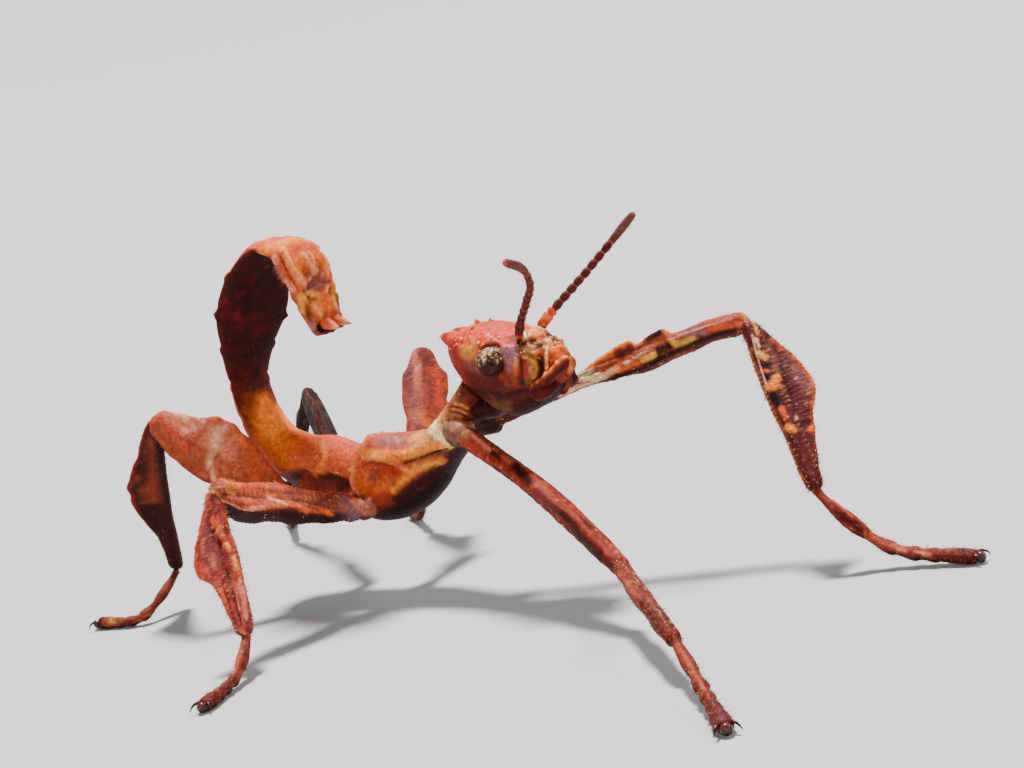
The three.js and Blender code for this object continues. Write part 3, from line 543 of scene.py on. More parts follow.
# Marks: the rows are those of apply_marks, and their picture points are seen from the viewpoint.
HEAD_MARKS = (
    ("red", 0.55, 0.07, 0.03, 0.5, 2, (466, 372), (478, 381), (496, 386), (514, 384)),
    # umber lines with a negative height, here and below, are painted shade in creases of the head
    ("umber", 0.6, 0.05, -0.03, 0.3, 2, (470, 380), (482, 388), (500, 392)),
    ("olive", 0.6, 0.08, 0.03, 0.5, 2, (484, 399), (498, 403), (512, 402)),
    ("rust", 0.5, 0.06, 0.03, 0.5, 2, (488, 392), (494, 398), (496, 405)),
    ("rust", 0.5, 0.06, 0.03, 0.5, 2, (504, 394), (508, 400), (508, 406)),
    ("umber", 0.7, 0.04, -0.03, 0.3, 2, (498, 393), (501, 400), (501, 406)),
    ("coral", 0.35, 0.42, 0, 0.4, 3, (452, 338), (470, 331), (496, 329), (514, 334)),
    ("gold", 0.6, 0.3, 0.04, 0.5, 4, (463, 352), (471, 352)),
    ("mauve", 0.85, 0.28, 0, 0.4, 3, (464, 365), (474, 369)),
    ("maroon", 0.9, 0.42, 0, 0.4, 3, (468, 377), (482, 384), (500, 386)),
    ("maroon", 0.85, 0.4, 0, 0.5, 3, (516, 382), (530, 390), (510, 394)),
    ("red", 0.85, 0.3, 0.04, 0.4, 3, (450, 338), (457, 352), (462, 368), (466, 386)),
    ("rust", 0.7, 0.2, 0.02, 0.5, 2, (460, 386), (468, 396)),
    ("olive", 0.8, 0.26, 0.05, 0.4, 3, (490, 405), (507, 407)),
    ("umber", 0.6, 0.1, -0.05, 0.3, 2, (484, 398), (488, 410)),
    ("umber", 0.7, 0.1, -0.05, 0.3, 2, (478, 391), (506, 396), (526, 391)),
    ("pink", 0.5, 0.1, 0.05, 0.6, 2, (472, 339), (475, 345)),
    ("pink", 0.4, 0.12, 0.05, 0.6, 2, (486, 336), (493, 341)),
    ("violet", 0.95, 0.26, 0.12, 0.5, 3, (506, 352), (514, 353), (515, 357)),
    # painted highlight on the brow pad
    ("pink", 0.55, 0.08, 0.05, 0.6, 2, (507, 347), (515, 347)),
    ("violet", 0.7, 0.14, 0.03, 0.5, 2, (509, 360), (510, 369)),
    ("maroon", 0.95, 0.2, -0.05, 0.4, 3, (514, 338), (519, 341), (521, 350)),
    ("orange", 0.8, 0.14, 0.02, 0.5, 3, (515, 330), (520, 333)),
    # cream marks with high gloss, here and below, are painted highlights on the face's bumps
    ("cream", 0.85, 0.09, 0.1, 0.8, 3, (524, 333.5), (525.2, 340)),
    ("bright", 0.95, 0.15, 0.07, 0.6, 3, (529, 333), (537, 335)),
    ("gold", 0.8, 0.06, 0.03, 0.6, 3, (530, 336), (536, 337)),
    ("cream", 0.9, 0.07, 0.04, 0.8, 3, (531, 330.5)),
    ("olive", 0.95, 0.1, -0.08, 0.4, 3, (533, 340.5), (536, 341)),
    ("tan", 0.8, 0.2, 0.03, 0.4, 3, (525, 347), (529, 352)),
    ("peach", 0.9, 0.1, 0.06, 0.6, 3, (532, 347), (533.5, 348)),
    ("cream", 0.85, 0.09, 0.1, 0.8, 3, (537, 344), (539.5, 343)),
    ("cream", 0.75, 0.08, 0.09, 0.8, 3, (544.5, 341), (546.5, 343)),
    ("gold", 0.6, 0.08, 0.06, 0.6, 3, (537, 348), (543, 347)),
    ("olive", 0.9, 0.045, -0.05, 0.4, 2, (540, 345.5), (543, 345)),
    ("peach", 0.75, 0.06, 0.08, 0.6, 3, (533.5, 354), (538, 351.5), (543, 350)),
    ("pink", 0.6, 0.07, 0.06, 0.6, 3, (549, 346), (552, 345)),
    ("cream", 0.7, 0.07, 0.06, 0.8, 3, (552.5, 349)),
    ("peach", 0.8, 0.1, 0.05, 0.6, 3, (557, 345), (560, 349)),
    ("maroon", 0.9, 0.18, -0.02, 0.5, 3, (549, 333), (552, 338), (556, 341)),
    ("brick", 0.8, 0.1, 0, 0.4, 3, (543, 337), (548, 339)),
    ("pink", 0.6, 0.06, 0.06, 0.5, 2, (547, 329), (551, 331), (555, 335)),
    ("violet", 0.7, 0.05, 0.04, 0.5, 2, (549, 340), (555, 345)),
    ("orange", 0.95, 0.22, 0.1, 0.15, 4, (552, 354), (559, 353), (559, 359), (553, 363)),
    ("brick", 0.75, 0.14, 0.02, 0.4, 3, (551, 358), (550, 366)),
    ("rust", 0.9, 0.16, 0, 0.4, 3, (550, 364), (550, 372)),
    ("olive", 0.85, 0.27, 0.07, 0.45, 5, (531, 361), (534, 369), (530, 379)),
    ("gold", 0.65, 0.09, 0.03, 0.5, 2, (529, 360), (534, 362), (537, 369), (535, 376)),
    ("olive", 0.45, 0.1, 0, 0.4, 3, (534, 366), (535, 374)),
    ("pink", 0.55, 0.12, 0.01, 0.5, 2, (530, 368), (530.5, 371)),
    ("red", 0.95, 0.16, 0.02, 0.5, 3, (524, 361), (525, 368), (526, 374)),
    ("brick", 0.8, 0.12, 0, 0.5, 2, (522, 371), (524, 376)),
    ("peach", 0.7, 0.07, 0.08, 0.6, 2, (517.5, 360), (516.5, 366)),
    ("orange", 0.75, 0.09, 0.07, 0.5, 2, (516, 369), (516, 374)),
    ("rust", 0.8, 0.16, 0.04, 0.4, 3, (514, 377), (516, 384)),
    ("umber", 0.85, 0.06, -0.06, 0.3, 2, (521, 358), (521.3, 372), (523, 384)),
    ("peach", 0.8, 0.06, 0.05, 0.5, 2, (524, 357), (527, 357.5)),
    ("umber", 1, 0.14, -0.09, 0.3, 3, (539.5, 357), (542, 366), (541.5, 376), (536, 386)),
    ("plum", 0.95, 0.12, -0.04, 0.6, 3, (541, 356), (542.5, 359)),
    # painted glint on the dark socket
    ("cream", 1, 0.045, 0.04, 1, 3, (539.8, 357.5)),
    ("peach", 1, 0.055, 0.09, 0.5, 3, (546, 349), (546.3, 357), (546.5, 369)),
    ("cream", 0.8, 0.035, 0.03, 0.6, 3, (545.6, 350), (546, 356)),
    ("rust", 0.6, 0.12, 0, 0.4, 2, (500, 376), (508, 384)),
)
WARTS = ((455, 330, 0.12, 0.30), (466, 326.5, 0.12, 0.30), (477, 323.5, 0.11, 0.26), (449, 334, 0.13, 0.22),
         (462, 328, 0.10, 0.18), (473, 328, 0.10, 0.18), (487, 323, 0.08, 0.11), (479, 344, 0.10, 0.14),
         (492, 339, 0.10, 0.13), (499, 338, 0.08, 0.09), (462, 340, 0.11, 0.15), (485, 333, 0.05, 0.06),
         (512, 335, 0.06, 0.05), (496, 331, 0.05, 0.05), (470, 337, 0.06, 0.06), (505, 329, 0.05, 0.04),
         (480, 352, 0.06, 0.06), (524, 352, 0.06, 0.05), (521, 353, 0.05, 0.05), (457, 345, 0.06, 0.07))


def eye_axis(side):
    """The way an eye looks, outwards and a little forwards."""
    return np.array([side * np.cos(EYE_TURN), -np.sin(EYE_TURN), 0.12])


def head_sheet():
    """Skull: rings from the nape to the mouth. Each ring is |x / half| ^ p + |z / reach| ^ p = 1 about the
    ring's middle, where p is HEAD_SQUARE, with one reach above the middle and another below."""
    rows, columns = HEAD_GRID
    table = [(place, *row) for place, row in enumerate(HEAD.values())]
    u = np.linspace(0, len(table) - 1, rows)
    y, top, bottom, half = follow(table, u).T
    middle = bottom + (top - bottom) * HEAD_MIDDLE
    angle = np.linspace(0, 2 * np.pi, columns, endpoint=False)
    c, s = np.cos(angle), np.sin(angle)
    power = 2 / HEAD_SQUARE
    reach = np.where(s > 0, (top - middle)[:, None], (middle - bottom)[:, None]) - COAT
    x = (half - COAT)[:, None] * np.sign(c) * np.abs(c) ** power
    z = middle[:, None] + reach * np.sign(s) * np.abs(s) ** power
    points = np.stack([x, y[:, None] + 0 * x, z], axis=-1)
    points, u = round_ends(points, u, 0.10, 0.10)
    sheet = Sheet(points, u, angle, "head")
    paint_head(sheet)
    return sheet


def paint_head(sheet):
    """Form and colour of the skull: crown salmon, cheeks maroon, throat olive, face gold, painted shade below,
    then the marks.
    """
    points = sheet.points
    up = np.sin(sheet.angle)
    u = sheet.along
    soft = cloud(points, 0.5, 1)
    fine = cloud(points, 0.14, 2)
    face = smooth(4.55, 5.1, u + 0.1 * soft) * smooth(-0.75, -0.2, up)
    sheet.paint = wash(
        plain(points, "brick"),
        ("coral", smooth(-0.1, 0.7, up + 0.25 * soft) * 0.9),
        ("brick", smooth(5.0, 1.5, u) * smooth(0.9, 0.3, up) * 0.5),
        ("orange", smooth(0.1, 0.9, fine) * 0.25),
        # darker below: maroon over the lower half, partly painted shade, and painted shade in umber underneath
        ("maroon", smooth(0.15, -0.45, up + 0.2 * soft) * 0.85),
        ("olive", smooth(-0.6, -0.95, up + 0.2 * soft) * 0.4),
        ("umber", smooth(-0.55, -0.90, up) * smooth(3.5, 5.0, u) * 0.8),
        ("orange", face * 0.9),
        ("gold", face * smooth(0.1, 0.6, fine) * 0.35),
        ("red", face * smooth(-0.1, -0.6, fine) * 0.5))
    sheet.shine = 0.34 + 0.12 * face + 0.30 * smooth(0.35, 0.6, cloud(points, 0.12, 6))
    sheet.shine = sheet.shine * (1 - 0.9 * smooth(-0.35, -0.75, up))
    reach = np.full(u.shape, np.inf)
    for side in (-1, 1):
        centre = np.array(EYE_CENTRE) * np.array([side, 1, 1])
        reach = np.minimum(reach, np.linalg.norm(points - centre, axis=-1))
    height = 0.06 * bump(reach, 0.68, 0.08) - 0.03 * smooth(0.60, 0.40, reach)
    height += 0.028 * soft + 0.010 * fine
    wrinkle = cloud(points * np.array([1.0, 0.8, 1.3]), 0.20, 7)
    height += face * 0.05 * wrinkle + (1 - face) * 0.020 * cloud(points, 0.24, 9)
    sheet.paint = wash(
        sheet.paint,
        ("rust", face * smooth(-0.05, -0.45, wrinkle) * 0.8),
        ("gold", face * smooth(0.35, 0.65, wrinkle) * 0.6))
    sheet.swell(height)
    # painted shadow in maroon under each eye's lower rim, and painted shade in umber in the crease round each
    # eye
    sheet.paint = wash(
        sheet.paint,
        ("maroon", smooth(0.80, 0.66, reach) * smooth(0.3, -0.2, points[..., 2] - EYE_CENTRE[2]) * 0.8),
        ("umber", smooth(0.70, 0.58, reach) * 0.85))
    sheet.shade_under(0.75)
    apply_marks(sheet, HEAD_MARKS, seed=11)


def spike_sheet(foot, tip, radius, rows=14, columns=20, bend=0.0):
    """A pointed wart: a round cone from foot to tip whose radius falls as (1 - s ^ 1.3), with a blunt end."""
    foot, tip = np.array(foot, float), np.array(tip, float)
    way = unit(tip - foot)
    side = unit(np.cross(way, [0.3, 1.0, 0.2]))
    up = np.cross(side, way)
    s = np.linspace(0, 1, rows) ** 0.9
    wide = radius * np.maximum(1 - s ** 1.3, 0.0) + 0.10 * radius * (1 - s ** 8)
    wide = np.maximum(wide, 0.03 * radius)
    angle = np.linspace(0, 2 * np.pi, columns, endpoint=False)
    ring = np.cos(angle)[:, None] * side + np.sin(angle)[:, None] * up
    centre = foot + (tip - foot) * s[:, None] + up * (bend * np.sin(np.pi * s))[:, None]
    points = centre[:, None] + ring[None] * wide[:, None, None]
    return Sheet(points, s, angle, "spike")


def horn_sheets():
    """The pointed horn on each side of the back of the crown, red-brown with a cream tip."""
    sheets = []
    for side in (-1, 1):
        flip = np.array([side, 1, 1])
        foot, tip = np.array(HORN["foot"]) * flip, np.array(HORN["tip"]) * flip
        sheet = spike_sheet(foot, tip, HORN["radius"], 26, 28)
        s = sheet.along
        sheet.paint = wash(
            plain(sheet.points, "coral"),
            ("brick", bump(s, 0.62, 0.12)),
            ("cream", smooth(0.74, 0.88, s)))
        sheet.shine = sheet.shine + 0.4
        sheet.swell(0.02 * cloud(sheet.points, 0.2, 5) * (1 - s))
        sheets.append(sheet)
    return sheets


def throat_sheet():
    """The soft skin under the head that fills the angle between the throat and the neck: a flattened tube."""
    path = ((0, -5.90, 7.15), (0, -6.80, 7.20), (0, -7.60, 7.35))
    sheet = tube_sheet(path, lambda s: 0.72 * domed(s, 1.75, 0.7), 30, 36, blade=(1, 0, 0), flat=0.62,
                       name="throat")
    fold = np.sin(sheet.along * 30)
    sheet.paint = wash(plain(sheet.points, "umber"), ("maroon", smooth(0.2, 0.9, fold) * 0.35))
    sheet.shine = sheet.shine * 0 + 0.2
    sheet.swell(0.01 * fold + 0.02 * cloud(sheet.points, 0.3, 8))
    return sheet


# ---- the trunk
TRUNK_COLUMNS = 96
THORAX_ROWS = 140
ABDOMEN_ROWS = 104
CERCUS = {"foot": (0.26, 0.62, 11.20), "tip": (0.36, -0.22, 10.92), "radius": 0.24}

# Thin dark lines with a negative height in this table and the next are painted shade in creases.
TRUNK_MARKS = (
    ("ivory", 0.95, 0.13, 0.02, 0.5, 3, (427, 427.5), (433, 430.5), (439, 437)),
    # painted shadow of the head on the front of the neck
    ("maroon", 0.85, 0.45, 0, 0.4, 3, (462, 388), (470, 396), (480, 406)),
    ("rust", 0.7, 0.2, 0.03, 0.4, 3, (452, 406), (460, 407), (470, 414)),
    ("gold", 0.6, 0.05, 0.05, 0.5, 2, (455, 404), (461, 404.5), (468, 408)),
    ("peach", 0.6, 0.05, 0.05, 0.5, 2, (454, 409), (460, 410), (466, 413)),
    ("tan", 0.6, 0.05, 0.04, 0.5, 2, (451, 414), (456, 415), (461, 417)),
    ("umber", 0.85, 0.03, -0.05, 0.3, 2, (453, 406.5), (461, 407), (470, 413.5)),
    ("umber", 0.8, 0.03, -0.05, 0.3, 2, (451, 411.5), (459, 412.5), (467, 418)),
    ("peach", 0.7, 0.26, 0.03, 0.4, 3, (413, 438), (420, 439), (427, 441)),
    ("cream", 1, 0.33, 0.05, 0.5, 4, (433, 427), (436, 432), (440, 439), (443, 443)),
    ("gold", 0.95, 0.18, 0.02, 0.5, 3, (436, 445), (442, 448), (447, 447)),
    ("violet", 0.85, 0.28, 0.02, 0.3, 3, (382, 442), (392, 441), (402, 443)),
    ("pink", 0.6, 0.08, 0.03, 0.4, 2, (396, 438), (399, 444)),
    ("mauve", 0.8, 0.12, -0.02, 0.3, 2, (381, 441), (383, 444)),
    ("bright", 1, 0.19, 0.06, 0.5, 3, (364, 454), (378, 455), (398, 456), (414, 452), (430, 447.5),
     (440, 444)),
    ("gold", 0.7, 0.09, 0.02, 0.4, 2, (368, 454), (380, 454)),
    ("gold", 0.85, 0.07, 0.02, 0.5, 2, (404, 453.5), (409, 453), (416, 451)),
    ("rust", 0.7, 0.05, -0.03, 0.3, 2, (393, 455), (398, 458)),
    ("gold", 0.8, 0.06, 0.02, 0.5, 2, (422, 447), (428, 446)),
    ("umber", 0.95, 0.065, -0.12, 0.2, 3, (447, 449), (434, 453), (420, 458), (403, 463)),
    ("bright", 0.85, 0.19, 0.11, 0.4, 3, (441, 461), (432, 463), (420, 467), (410, 473), (402, 481),
     (394, 490)),
    ("gold", 0.8, 0.07, 0.03, 0.5, 3, (438, 461), (430, 463.5), (420, 467.5)),
    ("bright", 0.8, 0.08, 0.02, 0.4, 2, (418, 468), (408, 475)),
    ("peach", 0.85, 0.06, 0.1, 0.4, 2, (363, 459), (373, 458), (385, 461), (394, 465), (401, 468),
     (409, 469)),
    ("umber", 0.85, 0.055, -0.08, 0.2, 2, (363, 465), (372, 462), (381, 463.5), (392, 467)),
    ("peach", 0.8, 0.085, 0.12, 0.4, 2, (373, 437), (366, 442), (361, 450), (356, 460), (353.5, 470)),
    ("pink", 0.75, 0.085, 0.12, 0.4, 2, (353.5, 470), (352, 479), (354, 487), (359, 494)),
    ("brick", 0.85, 0.28, -0.08, 0.3, 3, (372, 471), (384, 470), (396, 471)),
    ("red", 0.7, 0.12, 0.03, 0.3, 2, (390, 471), (395, 474)),
    ("mauve", 0.85, 0.13, -0.07, 0.3, 3, (371, 474), (373, 481)),
    ("mauve", 0.75, 0.12, -0.06, 0.3, 3, (391, 480), (394, 483)),
    ("salmon", 0.8, 0.13, 0.07, 0.4, 3, (365, 481), (366, 486)),
    ("orange", 0.85, 0.16, 0.07, 0.4, 3, (378, 490), (386, 487), (384, 480)),
    ("rust", 0.8, 0.05, -0.06, 0.3, 2, (378, 476), (384, 480)),
    # painted highlight on the middle hip
    ("pink", 0.8, 0.24, 0.05, 0.4, 3, (361, 505), (366, 508)),
    ("olive", 0.85, 0.2, 0, 0.3, 3, (436, 466), (440, 472)),
    # painted shade under the thorax, in umber and then black
    ("umber", 0.95, 0.3, 0, 0.2, 4, (450, 466), (432, 476), (415, 487), (398, 500)),
    ("black", 0.95, 0.34, 0, 0.2, 4, (455, 470), (438, 486), (418, 500), (395, 512)),
    ("bright", 0.7, 0.15, 0.03, 0.4, 2, (322, 443), (326, 454), (320, 468)),
    ("peach", 0.8, 0.1, 0.02, 0.4, 2, (324, 448), (326, 456)),
    ("coral", 0.6, 0.22, 0, 0.3, 2, (342, 443), (348, 455)),
    # painted shade in the hollows round the hind hips, here and in the next two marks
    ("maroon", 0.85, 0.34, -0.2, 0.2, 3, (277, 486), (288, 479), (302, 474), (314, 484), (330, 482),
     (344, 484)),
    ("umber", 0.85, 0.18, -0.1, 0.2, 3, (318, 478), (334, 478), (343, 484), (338, 492)),
    ("umber", 0.75, 0.14, -0.05, 0.2, 3, (286, 481), (297, 477)),
    ("orange", 0.6, 0.08, 0.07, 0.3, 2, (280, 471), (296, 464), (312, 469), (322, 474)),
    ("clay", 0.6, 0.1, 0.05, 0.3, 2, (300, 486), (316, 494)),
    # painted highlight up the abdomen's base, with painted shade in rust on both sides of it in the next two
    # marks
    ("bright", 0.85, 0.24, 0, 0.3, 2, (262, 400), (266, 420), (274, 440)),
    ("rust", 0.7, 0.16, 0, 0.3, 2, (244, 410), (250, 436), (258, 455)),
    ("rust", 0.75, 0.16, 0, 0.3, 2, (284, 400), (292, 418), (304, 432)),
)

TIP_MARKS = (
    ("bright", 0.85, 0.15, 0.03, 0.4, 3, (301, 297), (310, 300), (317, 304)),
    # painted highlight over the top of the curl, here and in the next mark
    ("bright", 0.85, 0.26, 0.04, 0.3, 3, (262, 252), (272, 247), (282, 243), (290, 240)),
    ("gold", 0.7, 0.1, 0.02, 0.4, 2, (280, 244), (289, 240)),
    ("coral", 0.85, 0.2, 0.02, 0.4, 3, (302, 247), (306, 250)),
    ("salmon", 0.85, 0.26, 0, 0.3, 3, (312, 247), (320, 256), (322, 264)),
    ("pink", 0.85, 0.13, 0.05, 0.4, 3, (274, 259), (280, 271), (286, 282), (294, 290)),
    ("violet", 0.6, 0.07, 0, 0.3, 2, (276, 263), (281, 273)),
    ("peach", 0.85, 0.13, 0.13, 0.4, 3, (284, 250), (289, 262), (296, 275), (304, 283)),
    # painted highlight on a ridge
    ("pink", 0.8, 0.1, 0.04, 0.5, 3, (298, 278), (304, 283)),
    ("brick", 0.85, 0.05, -0.08, 0.2, 2, (280, 256), (287, 271), (297, 287)),
    ("orange", 0.9, 0.17, 0, 0.3, 3, (296, 256), (298, 265), (302, 270)),
    ("peach", 0.8, 0.12, 0.13, 0.4, 3, (304, 256), (308, 264), (318, 272), (321, 275)),
    # painted highlight on a ridge
    ("pale", 0.45, 0.11, 0.05, 0.5, 3, (315, 270), (321, 275)),
    # painted shade in a crease
    ("rust", 0.9, 0.14, -0.1, 0.2, 3, (306, 273), (314, 278), (322, 279)),
    ("maroon", 0.9, 0.19, -0.1, 0.2, 3, (323, 280), (330, 284), (330, 290)),
    ("violet", 0.55, 0.16, 0.02, 0.3, 3, (311, 285), (319, 288)),
    ("umber", 0.7, 0.04, -0.05, 0.2, 2, (303, 290), (312, 289.5), (322, 289)),
    # painted highlight on a ridge
    ("peach", 0.95, 0.11, 0.08, 0.5, 3, (308, 292), (316, 295)),
    ("orange", 0.95, 0.28, 0.07, 0.4, 4, (322, 297), (328, 302), (331, 309)),
    ("gold", 0.85, 0.16, 0.05, 0.4, 3, (302, 299), (303, 309)),
    ("olive", 0.85, 0.15, -0.07, 0.2, 3, (307, 305), (309, 313), (311, 320)),
    ("maroon", 0.8, 0.12, -0.04, 0.2, 3, (309, 315)),
    ("peach", 0.8, 0.11, 0.06, 0.5, 3, (314, 304), (318, 310), (321, 316)),
    ("violet", 0.75, 0.16, 0.03, 0.4, 3, (312, 323), (315, 332)),
    # painted shade in the opening at the end
    ("black", 1, 0.24, -0.14, 0.1, 4, (322, 327), (328, 333)),
    ("red", 0.85, 0.17, 0.05, 0.4, 3, (326, 320), (331, 325)),
    ("rust", 0.7, 0.08, 0.03, 0.3, 2, (322, 318), (326, 314)),
)


def trunk_sheet():
    """Body from the neck to the curled tip: an ellipse at each row across a path in the middle plane, turned
    about the path and widened towards its underside, with grooves between the rings of the abdomen."""
    table = [(place, *row) for place, row in enumerate(TRUNK.values())]
    last = len(table) - 1
    waist = TRUNK_PLACE["hind_hips"]
    front = np.linspace(0, waist, THORAX_ROWS, endpoint=False)
    u = np.concatenate([front, np.linspace(waist, last, ABDOMEN_ROWS)])
    y, z, half, above, below, widening, turn = follow(table, u).T
    ahead = follow(table, np.minimum(u + 0.02, last))[:, :2] - follow(table, np.maximum(u - 0.02, 0))[:, :2]
    way = unit(np.column_stack([np.zeros(len(u)), ahead]))
    turn = np.radians(turn)[:, None]
    level = np.array([1.0, 0, 0])
    side = level * np.cos(turn) + np.cross(level, way) * np.sin(turn)
    up = unit(np.cross(side, way))
    angle = np.linspace(0, 2 * np.pi, TRUNK_COLUMNS, endpoint=False)
    c, s = np.cos(angle), np.sin(angle)
    rise = np.where(s > 0, above[:, None] * s, below[:, None] * s) * (1 - COAT / above[:, None])
    across = (half[:, None] - COAT) * c * (1 - widening[:, None] * rise / below[:, None])
    centre = np.column_stack([np.zeros(len(u)), y, z])
    points = centre[:, None] + side[:, None] * across[..., None] + up[:, None] * rise[..., None]
    points, u = round_ends(points, u, 0.15, 0.14)
    sheet = Sheet(points, u, angle, "trunk")
    paint_trunk(sheet)
    return sheet


def paint_trunk(sheet):
    """Form and colour of the body, by the place along it and how far round from the back, with painted shade
    below the thorax, on the neck and inside the curl, and painted light on top of the abdomen's base.
    """
    points, u = sheet.points, sheet.along
    up, side = np.sin(sheet.angle), np.abs(np.cos(sheet.angle))
    soft, fine = cloud(points, 0.9, 21), cloud(points, 0.22, 22)
    stretched = cloud(points * np.array([2.2, 0.7, 0.9]), 0.5, 23)
    abdomen = smooth(9.0, 9.6, u)
    front = smooth(4.2, 3.2, u)
    paint = wash(
        plain(points, "salmon"),
        ("mauve", smooth(0.0, 0.6, soft) * 0.6),
        ("orange", smooth(0.45, 0.0, np.abs(up)) * (1 - abdomen) * 0.55),
        ("tan", front * 0.75),
        # painted shadow of the head, in rust on the front of the neck
        ("rust", smooth(1.6, 0.9, u) * 0.8),
        ("gold", bump(u, 1.45, 0.30) * smooth(-0.1, 0.3, fine) * smooth(-0.2, 0.3, up) * 0.8),
        # darker below: brick over the underside of the thorax, painted shade
        ("brick", smooth(0.0, -0.5, up) * (1 - abdomen) * 0.8),
        ("salmon", bump(u, 8.4, 0.8) * smooth(-0.2, 0.5, up) * 0.8),
        ("orange", abdomen * smooth(13.0, 11.4, u) * 0.8),
        # painted light from above: brighter orange on the upper side of the abdomen's base
        ("bright", bump(u, 10.6, 0.8) * smooth(-0.4, 0.4, up + 0.3 * soft) * 0.85))
    curl = smooth(10.75, 12.2, u + 0.4 * soft + 0.8 * side ** 3) * smooth(17.6, 16.4, u)
    inside = smooth(-0.12, 0.1, up)
    paint = wash(
        paint,
        # painted shadow in maroon and umber on the inner side of the curl, shaded by the curled tip
        ("maroon", curl * inside * 0.98),
        ("umber", curl * inside * smooth(0.98, 0.80, side + 0.3 * soft) * smooth(-0.5, 0.3, soft) * 0.7),
        ("red", curl * inside * smooth(0.1, 0.6, stretched) * 0.5),
        ("brick", curl * (1 - inside) * smooth(15.4, 13.0, u) * 0.7))
    end = smooth(15.2, 16.2, u) * (1 - inside * smooth(17.6, 16.4, u))
    sheet.paint = wash(
        paint,
        ("salmon", end * 0.85),
        ("bright", end * smooth(0.0, 0.5, fine) * 0.8),
        ("peach", end * smooth(0.25, 0.7, stretched) * 0.5),
        ("rust", end * smooth(-0.2, -0.6, stretched) * 0.75),
        # painted shade in umber under the thorax
        ("umber", smooth(-0.45, -0.85, up + 0.1 * soft) * (1 - abdomen) * 0.9),
        ("bright", smooth(0.35, 0.8, fine) * (1 - curl * inside) * 0.3),
        ("mauve", smooth(0.35, 0.8, cloud(points, 0.3, 25)) * (1 - abdomen) * 0.5))
    sheet.shine = 0.30 - 0.15 * curl * inside
    groove = np.abs(u - np.round(u)) / 0.07
    height = -0.05 * np.exp(-groove ** 2) * smooth(9.5, 10.2, u) * smooth(18.6, 18.0, u)
    height += 0.035 * bump(u % 1.0, 0.84, 0.08) * smooth(10.5, 11.5, u) * smooth(18.4, 17.8, u)
    for place, tall in ((12.86, 0.03), (13.86, 0.09), (14.88, 0.07), (15.86, 0.05), (16.86, 0.04)):
        height += tall * bump(u, place, 0.13) * smooth(0.90, 0.99, side)
    height += 0.03 * soft + 0.014 * fine
    height += end * (0.05 * stretched + 0.03 * cloud(points, 0.35, 26))
    height += 0.05 * bump(up, 1.0, 0.02) * smooth(3.5, 4.5, u) * smooth(9.5, 8.5, u)
    height += 0.05 * bump(u, 1.4, 0.5) * np.sin(u * 24 + 2.5 * soft)
    sheet.swell(height)
    sheet.shade_under(0.7)
    apply_marks(sheet, TRUNK_MARKS + TIP_MARKS, seed=31, ragged=0.15)


def cercus_sheets():
    """The two short pointed feelers at the end of the abdomen."""
    sheets = []
    for side in (-1, 1):
        flip = np.array([side, 1, 1])
        foot, tip = np.array(CERCUS["foot"]) * flip, np.array(CERCUS["tip"]) * flip
        sheet = spike_sheet(foot, tip, CERCUS["radius"], 16, 18)
        sheet.paint = wash(plain(sheet.points, "salmon"), ("pink", smooth(0.3, 0.8, sheet.along)))
        sheet.shine = sheet.shine + 0.4
        sheet.swell(0.03 * cloud(sheet.points, 0.18, 27) * (1 - sheet.along))
        sheets.append(sheet)
    return sheets


# ---- the legs
LEG_GRIDS = {"thigh": (110, 40), "shin": (92, 40), "foot": (72, 22), "hip": (16, 26)}
GRID_SHARE = {"front_left": 1.4, "front_right": 0.8, "middle_right": 1.0}
FAR_SHARE = 0.52             # the other legs have this share of the grids above
ROD = 0.30                   # half width of a leg's rod; beyond it the lobes are thin plates
LOBE_THIN = 0.60             # how much thinner a lobe is than its rod
LOBE_START = 0.42            # an edge that reaches further than this from the rod's middle is a lobe
LOBE_SPAN = 0.45             # and this much further out it is a lobe in full
TOOTH = 0.42                 # length of the teeth along a lobe's edge
KEEL = 0.35                  # the crest under a middle thigh runs this far from its middle
FOOT_JOINTS = (0.0, 0.40, 0.56, 0.69, 0.80, 1.02)

# Colours of each leg: thigh main, thigh blotches, shin main, shin blotches, foot, margins, and how far it is
# blotched.
LEG_LOOK = {
    "front_left": ("clay", "mauve", "plum", "maroon", "russet", "orange", 0.55),
    "front_right": ("brick", "umber", "oxblood", "umber", "oxblood", "brick", 0.80),
    "middle_right": ("clay", "russet", "crimson", "plum", "russet", "salmon", 0.70),
    "middle_left": ("russet", "mauve", "brick", "maroon", "brick", "clay", 0.55),
    "hind_right": ("clay", "salmon", "maroon", "umber", "russet", "brick", 0.50),
    "hind_left": ("umber", "maroon", "umber", "maroon", "brick", "maroon", 0.80),
}
CALM = ("middle_left", "hind_left", "hind_right")     # legs with a softer pattern
JOINTS = ("hip", "knee", "ankle", "instep", "toe")
HIP_COLOUR = {"front": "tan", "middle": "pink", "hind": "brick"}
STOUT = {"front_left": 0.06}                           # how much thicker the second joint of a foot is
